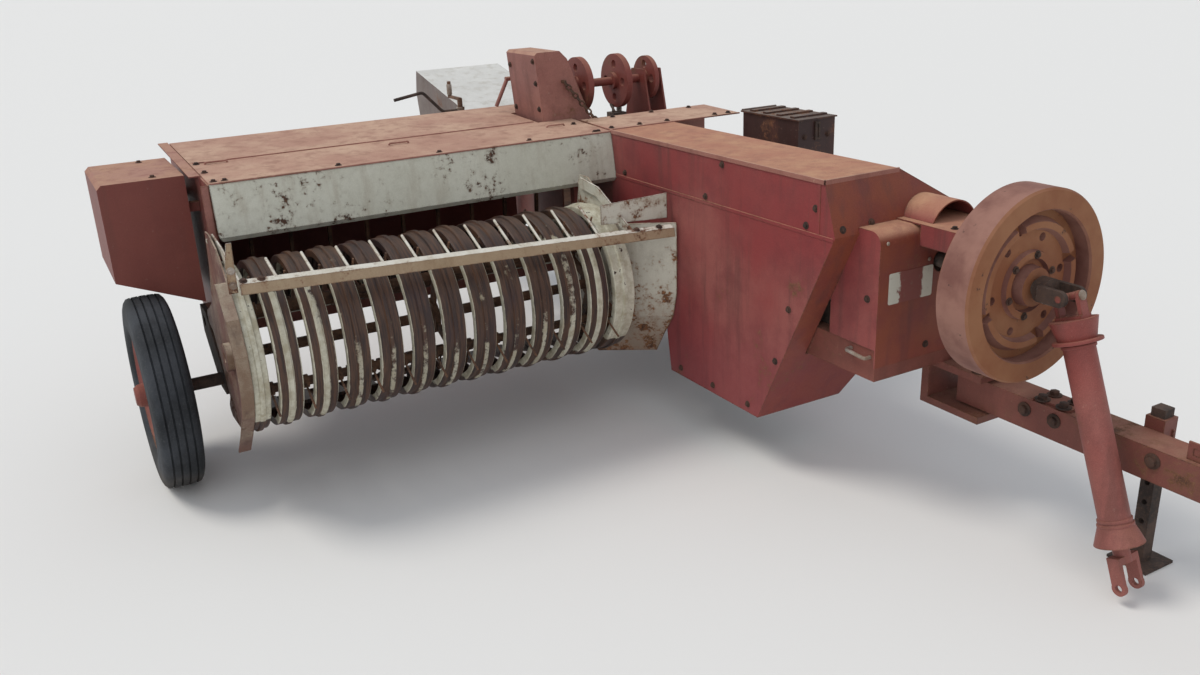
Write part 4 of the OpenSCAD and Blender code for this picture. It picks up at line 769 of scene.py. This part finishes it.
# Latch under the guard's side, and the low pulls on the roof
latchLook = {"radius": 0.006, "line": [(0.092, -1.24, 0.52), (0.068, -1.24, 0.52), (0.068, -1.32, 0.514),
                                       (0.092, -1.32, 0.514)]}
latch = bentRod([spot(*point) for point in latchLook["line"]], latchLook["radius"])
finishPiece(latch, "guardLatch", "machine", "brightBolt")
pullLook = {"radius": 0.0035, "sunk": Vector((0, 0, -0.003)), "rise": Vector((0, 0, 0.007)),
            "run": Vector((0.072, -0.004, 0)), "places": [(-1.42, 0.3), (-0.79, 0.24), (-0.17, 0.2)]}
pulls = []
for x, y in pullLook["places"]:
    first = seatOn("hood_roof", down, x, y)[0][0]
    last = first + pullLook["run"]
    pulls.append(bentRod([first + pullLook["sunk"], first + pullLook["rise"], last + pullLook["rise"],
                          last + pullLook["sunk"]], pullLook["radius"]))
finishPiece(joined(pulls), "roofPulls", "machine", "roofRed")
print("seams, lips, label and pulls made")


# Flange down the front edge of the feeder's end wall
flangeLook = {"low": (-1.492, -0.005, 1.0), "high": (-1.469, -0.001, 1.026),
              "drops": [(0, -0.009, -0.185), (0, 0.078, -0.19)]}
flange = startBlock(flangeLook["low"], flangeLook["high"])
for drop in flangeLook["drops"]:
    reshape(flange, downward, draw=drop)
finishPiece(flange, "endWallFlange", "machine", "knotterRed")
setRows("windGuardBolts")


# Strap that stands up from the guard's right end, narrower and bent inwards above
strapLook = {"low": (-1.534, -0.4865, 0.806), "high": (-1.5085, -0.4825, 0.885), "narrow": 0.6,
             "bend": (0.008, 0.006, 0.065), "chamfer": 0.0009, "boltsX": -1.521, "boltsZ": (0.83, 0.872)}
strap = startBlock(strapLook["low"], strapLook["high"])
pickFaces(strap, upward)
bpy.ops.mesh.extrude_region_move(TRANSFORM_OT_translate={"value": strapLook["bend"]})
bpy.ops.transform.resize(value=(strapLook["narrow"], 1, 1))
bpy.ops.mesh.select_all(action="SELECT")
bpy.ops.mesh.bevel(offset=strapLook["chamfer"], segments=1, affect="EDGES")
finishPiece(strap, "guardStrap", "guard", "barCream")
seats = [(spot(strapLook["boltsX"], strapLook["low"][1], z), Vector(forward[0])) for z in strapLook["boltsZ"]]
finishPiece(seatCopies(bolt, seats), "strapBolts", "guard", "brightBolt")


# Coil spring round a rod: a wire circle wound up by a screw modifier
def coilSpring(place, radius, wire, pitch, turns):
    bpy.ops.mesh.primitive_circle_add(vertices=8, radius=wire, fill_type="NGON", location=(radius, 0, 0),
                                      rotation=quarterTurn)
    coil = bpy.context.object
    settle()
    screw = coil.modifiers.new("winding", "SCREW")
    screw.screw_offset = pitch
    screw.iterations = turns
    screw.steps = screw.render_steps = 20
    screw.use_merge_vertices = False
    bpy.ops.object.modifier_apply(modifier=screw.name)
    coil.data.transform(Matrix.Translation(place))
    return closeEnds(coil)


quarterTurn = (math.radians(90), 0, 0)

# Tension screws: springs under the upper bar, plain nuts and crank grips, and the bent lever of the near one
screwLook = {
    "y": 1.29, "sides": (-0.08, 0.54), "springFrom": 0.802, "spring": (0.0335, 0.0045, 0.0172, 8),
    "grip": 0.0125, "gripLong": 0.05, "gripOut": 0.122, "gripHeight": 1.07, "gripRound": 0.0025,
    "nut": 0.02, "nutHigh": 0.011, "nutHeights": (0.981, 0.9935), "nutChamfer": 0.0025,
    "lever": 0.0075, "leverLine": [(-0.086, 0.984), (-0.17, 0.986), (-0.262, 1.083), (-0.402, 1.061)]}
y = screwLook["y"]
springs = [coilSpring(spot(x, y, screwLook["springFrom"]), *screwLook["spring"])
           for x in screwLook["sides"]]
finishPiece(joined(springs), "tensionSprings", "machine", "darkSteel")
grips = []
for x in screwLook["sides"]:
    grip = startRound(screwLook["grip"], screwLook["gripLong"], 20,
                      spot(x, y + screwLook["gripOut"], screwLook["gripHeight"]))
    grips.append(reshape(grip, sideways, bevel=screwLook["gripRound"]))
    for height in screwLook["nutHeights"]:
        nut = startRound(screwLook["nut"], screwLook["nutHigh"], 6, spot(x, y, height))
        reshape(nut, lambda middle, normal: abs(normal.z) > 0.9, inset=screwLook["nutChamfer"])
        grips.append(nut)
finishPiece(joined(grips), "tensionNutsAndGrips", "machine", "brightBolt")
lever = bentRod([spot(x, y, z) for x, z in screwLook["leverLine"]], screwLook["lever"])
finishPiece(lever, "tensionLever", "machine", "darkSteel")

# Knotter heads: hooks, twine fingers and springs over the two blocks
knotterLook = {
    "heads": (0.15, 0.335), "rod": 0.0055,
    "spring": (0.0105, 0.002, 0.0048, 6), "springAt": (0.04, 0.575, 1.006),
    "hook": [(-0.005, 0.55, 1.003), (-0.005, 0.55, 1.036), (-0.045, 0.5, 1.051), (-0.05, 0.46, 1.026)],
    "finger": [(0.04, 0.575, 1.003), (0.04, 0.575, 1.046), (0.062, 0.6, 1.061)]}
fittings = [bentRod([spot(head + x, y, z) for x, y, z in knotterLook[line]], knotterLook["rod"])
            for head in knotterLook["heads"] for line in ("hook", "finger")]
x, y, z = knotterLook["springAt"]
coils = [coilSpring(spot(head + x, y, z), *knotterLook["spring"]) for head in knotterLook["heads"]]
finishPiece(joined(fittings), "knotterHooks", "machine", "casting")
finishPiece(joined(coils), "knotterSprings", "machine", "brightBolt")
setRows("shieldBolts", "twineBoxBolts")

# Hasp of the twine box, its middle set in
haspLook = {"low": (0.594, -0.4685, 0.985), "high": (0.618, -0.4596, 1.052), "bevel": 0.0015, "rim": 0.007,
            "depth": (0, 0.003, 0)}
hasp = startBlock(haspLook["low"], haspLook["high"], haspLook["bevel"])
reshape(hasp, frontal, inset=haspLook["rim"], draw=haspLook["depth"])
finishPiece(hasp, "twineBoxHasp", "machine", "darkSteel")

# Weld beads where the frame's parts meet
beadLook = {"radius": 0.0045, "step": 0.0055, "shape": (1, 1.15, 0.75), "angle": 60}
bpy.ops.mesh.primitive_uv_sphere_add(segments=8, ring_count=5, radius=beadLook["radius"])
bead = bpy.context.object
editWhole(bead)
bpy.ops.transform.resize(value=beadLook["shape"])
editMode(False)
weldRows = {
    "frameWelds": ("machine", [
        ((-1.49, 0.28, 0.44), (-1.49, 0.38, 0.44)), ((0.05, 0.2795, 0.538), (0.05, 0.2795, 0.442)),
        ((0.06, 0.2795, 0.441), (0.02, 0.2795, 0.441)), ((0.56, 0.38, 0.44), (0.56, 0.28, 0.44)),
        ((0.375, -1.49, 0.4395), (0.595, -1.49, 0.4395))]),
    "tongueWelds": ("tongue", [
        ((0.4155, -1.6395, 0.411), (0.5025, -1.6395, 0.411)),
        ((0.555, -1.921, 0.412), (0.555, -1.921, 0.316)), ((0.555, -1.979, 0.412), (0.555, -1.979, 0.316))])}
for name, (body, runs) in weldRows.items():
    seats = []
    for first, last in runs:
        start, end = spot(*first), spot(*last)
        count = int((end - start).length / beadLook["step"])
        seats += [(start.lerp(end, (k + 0.5) / count), (end - start).normalized()) for k in range(count)]
    finishPiece(seatCopies(bead, seats), name, body, "frameRed", beadLook["angle"])
print("strap, springs, hooks and welds made")

# Drive shaft: collar bands and cross caps, all turned with the hanging shaft
shaftLook = {"cross": (0.335, -1.777, 0.774), "lean": -21, "collarHigh": 0.009, "collarRound": 0.002,
             "collars": [(-0.118, 0.064), (-0.131, 0.0445), (-0.597, 0.0445), (-0.61, 0.047)],
             "cap": 0.0135, "capThick": 0.004, "capOut": 0.0415, "capChamfer": 0.003}


def hang(piece):
    choose([piece])
    lean = Matrix.Rotation(math.radians(shaftLook["lean"]), 4, "X")
    piece.matrix_world = Matrix.Translation(spot(*shaftLook["cross"])) @ lean
    settle()
    return piece


collars = [reshape(startRound(radius, shaftLook["collarHigh"], 40, (0, 0, height)), sideways,
                   bevel=shaftLook["collarRound"]) for height, radius in shaftLook["collars"]]
finishPiece(hang(joined(collars)), "shaftCollars", "drive_shaft", "shaftRed")
caps = [startRound(shaftLook["cap"], shaftLook["capThick"], 20, (0, y, 0), quarterTurn)
        for y in (-shaftLook["capOut"], shaftLook["capOut"])]
for cap in caps:
    reshape(cap, lambda middle, normal: abs(normal.y) > 0.9, inset=shaftLook["capChamfer"])
finishPiece(hang(joined(caps)), "crossCaps", "drive_shaft", "brightBolt")

# Flywheel: bolts round the hub
hubLook = {"x": 0.335, "z": 0.774, "count": 6, "turn": 0.35, "ring": 0.086}
ring = hubLook["ring"]
seats = [seat for c, s in around(hubLook["count"], hubLook["turn"])
         for seat in seatOn("flywheel", rearward, hubLook["x"] + ring * c, hubLook["z"] + ring * s)]
finishPiece(seatCopies(bolt, seats), "flywheelBolts", "flywheel", "boltRust")
setRows("tongueBolts")

# Small bracket on the tongue, ahead of the shaft, its middle set in
bracketLook = {"low": (0.43, -2.145, 0.4095), "high": (0.436, -2.095, 0.46), "bevel": 0.0015, "rim": 0.014,
               "depth": (0.002, 0, 0), "plainTo": 0.42}
bracket = startBlock(bracketLook["low"], bracketLook["high"], bracketLook["bevel"])
reshape(bracket, lambda middle, normal: normal.x < -0.9 and middle.z > bracketLook["plainTo"],
        inset=bracketLook["rim"], draw=bracketLook["depth"])
finishPiece(bracket, "hoseBracket", "tongue", "frameRed")
setRows("frameBolts")
print("shaft, flywheel and tongue fittings made")


# Chain from the knotter shield, its links turned by quarters, on the two studs of the plain one
chainLook = {"top": (-0.033, 0.303, 1.191), "foot": (0.1, 0.262, 1.012), "links": 11, "wire": 0.0038,
             "width": 0.0125, "overlap": 0.00076, "turn": 20, "stud": 0.007, "studChamfer": 0.002,
             "studRise": (0, -0.0015, 0)}
top, foot = spot(*chainLook["top"]), spot(*chainLook["foot"])
step = (foot - top) / chainLook["links"]
ring = chainLook["width"] - chainLook["wire"]
bpy.ops.mesh.primitive_torus_add(major_radius=ring, minor_radius=chainLook["wire"], major_segments=16,
                                 minor_segments=8)
linkModel = bpy.context.object
stretch = step.length / 2 + chainLook["overlap"] - ring
for way in (1, -1):
    reshape(linkModel, lambda middle, normal: middle.x * way > 0, move=(way * stretch, 0, 0))
places = []
for k in range(chainLook["links"]):
    quarter = Matrix.Rotation(math.radians(90 * (k % 2) + chainLook["turn"]), 4, "X")
    places.append(turned(top + step * (k + 0.5), step, "X", "Z") @ quarter)
studs = [startRound(chainLook["stud"], depth, 16, end + Vector((0, out, 0)), quarterTurn)
         for end, depth, out in ((top, 0.022, 0.001), (foot, 0.0165, -0.003))]
for stud in studs:
    reshape(stud, frontal, inset=chainLook["studChamfer"], move=chainLook["studRise"])
chain = finishPiece(joined([placedCopies(linkModel, places), *studs]), "linkChain", "machine", "brownRust")
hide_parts("drive_chain")
print("chain made")


# Tyres: the profile spun round the axle, with ribs, bead and a stepped side wall
tyreLook = {"radius": 0.33, "bead": 0.1905, "half": 0.07, "grooves": (-0.037, -0.0125, 0.0125, 0.037),
            "groove": 0.0032, "deep": 0.008, "lip": 0.001, "floor": 0.55, "crown": 0.004, "shoulder": 0.012,
            "edge": 0.74, "edgeDrop": 0.005, "steps": 96, "merge": 0.0001,
            "side": ((0.62, 0.0), (0.72, 0.06), (0.74, 0.13), (0.9, 0.2), (0.985, 0.38), (1.0, 0.5),
                     (0.985, 0.62), (0.955, 0.7), (0.965, 0.73), (0.93, 0.86), (0.86, 0.97))}


def tyreProfile(look):  # half widths and radii from one bead over the tread to the other
    half, wall = look["half"], look["radius"] - look["shoulder"] - look["bead"]
    side = [(half * w, look["bead"] + wall * r) for w, r in look["side"]]
    side.append((half * look["edge"], look["radius"] - look["edgeDrop"]))
    bottom = look["groove"] * look["floor"]
    tread = []
    for groove in look["grooves"]:
        crown = look["radius"] - look["crown"] * (groove / half) ** 2
        for offset, depth in ((-look["groove"], look["lip"]), (-bottom, look["deep"]), (bottom, look["deep"]),
                              (look["groove"], look["lip"])):
            tread.append((groove + offset, crown - depth))
    return [(-x, r) for x, r in side] + tread + side[::-1]


def spunTyre(name, body, side):
    low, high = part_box(side + "_tyre")
    axle = (low + high) / 2
    points = [axle + Vector((x, 0, r)) for x, r in tyreProfile(tyreLook)]
    tyre = startLine(points + points[:1])
    bpy.ops.mesh.remove_doubles(threshold=tyreLook["merge"])
    bpy.ops.mesh.spin(steps=tyreLook["steps"], angle=math.tau, center=axle, axis=(1, 0, 0))
    bpy.ops.mesh.select_all(action="SELECT")
    bpy.ops.mesh.remove_doubles(threshold=tyreLook["merge"])
    editMode(False)
    tyre = finishPiece(tyre, name, body, "rubber", 40)
    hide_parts(side + "_tyre")
    return tyre


spunTyre("rightTyreRibbed", "right_wheel", "right")
spunTyre("leftTyreRibbed", "left_wheel", "left")
print("tyres spun")

for model in (bolt, largeBolt, rivet, bead, linkModel):
    bpy.data.objects.remove(model)


# Floor, light and camera
floorLook = {"size": 600.0, "colour": (0.8, 0.79, 0.77), "roughness": 0.9, "gloss": 0.1}
bpy.ops.mesh.primitive_plane_add(size=floorLook["size"], location=(0, 0, 0))
floor = bpy.context.object
floor.name = "floor"
pale = Surface("floorPale")
shader = pale.add("BsdfPrincipled", {"Base Color": opaque(floorLook["colour"]),
                  "Roughness": floorLook["roughness"], "Specular IOR Level": floorLook["gloss"]})
pale.add("OutputMaterial", {"Surface": shader.outputs[0]})
floor.data.materials.append(pale.material)

skyLook = {"light": ((0.86, 0.92, 1.0), 0.62), "seen": ((0.785, 0.79, 0.785), 1.0)}
world = bpy.data.worlds.new("studio")
bpy.context.scene.world = world
world.use_nodes = True
tree = world.node_tree
tree.nodes.clear()
rays = addNode(tree, "LightPath").outputs
direct = rays["Is Camera Ray"]
for kind in ("Is Glossy Ray", "Is Transmission Ray"):
    direct = addNode(tree, "Math", {0: direct, 1: rays[kind]}, operation="MAXIMUM").outputs[0]
lit, seen = [addNode(tree, "Background", {"Color": (*colour, 1.0), "Strength": strength}).outputs[0]
             for colour, strength in (skyLook["light"], skyLook["seen"])]
mixed = addNode(tree, "MixShader", {0: direct, 1: lit, 2: seen}).outputs[0]
addNode(tree, "OutputWorld", {"Surface": mixed})

lampLooks = {
    "keyLamp": {"energy": 1.35, "angle": 24, "colour": (1.0, 0.96, 0.9), "from": Vector((-0.55, 0.35, 1.0))},
    "fillLamp": {"energy": 0.5, "angle": 60, "colour": (1.0, 0.98, 0.96), "from": Vector((-0.7, -1.0, 0.7))},
}
for name, look in lampLooks.items():
    bpy.ops.object.light_add(type="SUN", location=look["from"] * 8)
    lamp = bpy.context.object
    lamp.name = name
    lamp.rotation_euler = look["from"].to_track_quat("Z", "Y").to_euler()
    lamp.data.energy = look["energy"]
    lamp.data.angle = math.radians(look["angle"])
    lamp.data.color = look["colour"]

cameraLook = {"place": spot(-1.992, -3.453, 1.669), "turn": 28.9, "tilt": 20.2, "roll": -2.4, "lens": 31.5,
              "sensor": 36.0, "farthest": 200.0}
bpy.ops.object.camera_add(location=cameraLook["place"])
camera = bpy.context.object
camera.name = "photoCamera"
aim = Matrix.Translation(cameraLook["place"])
for degrees, axis in ((-cameraLook["turn"], "Z"), (90 - cameraLook["tilt"], "X"), (cameraLook["roll"], "Z")):
    aim = aim @ Matrix.Rotation(math.radians(degrees), 4, axis)
camera.matrix_world = aim
camera.data.lens = cameraLook["lens"]
camera.data.sensor_width = cameraLook["sensor"]
camera.data.clip_end = cameraLook["farthest"]
bpy.context.scene.camera = camera
bpy.context.scene.view_settings.view_transform = "Standard"
print("floor, light and camera set")
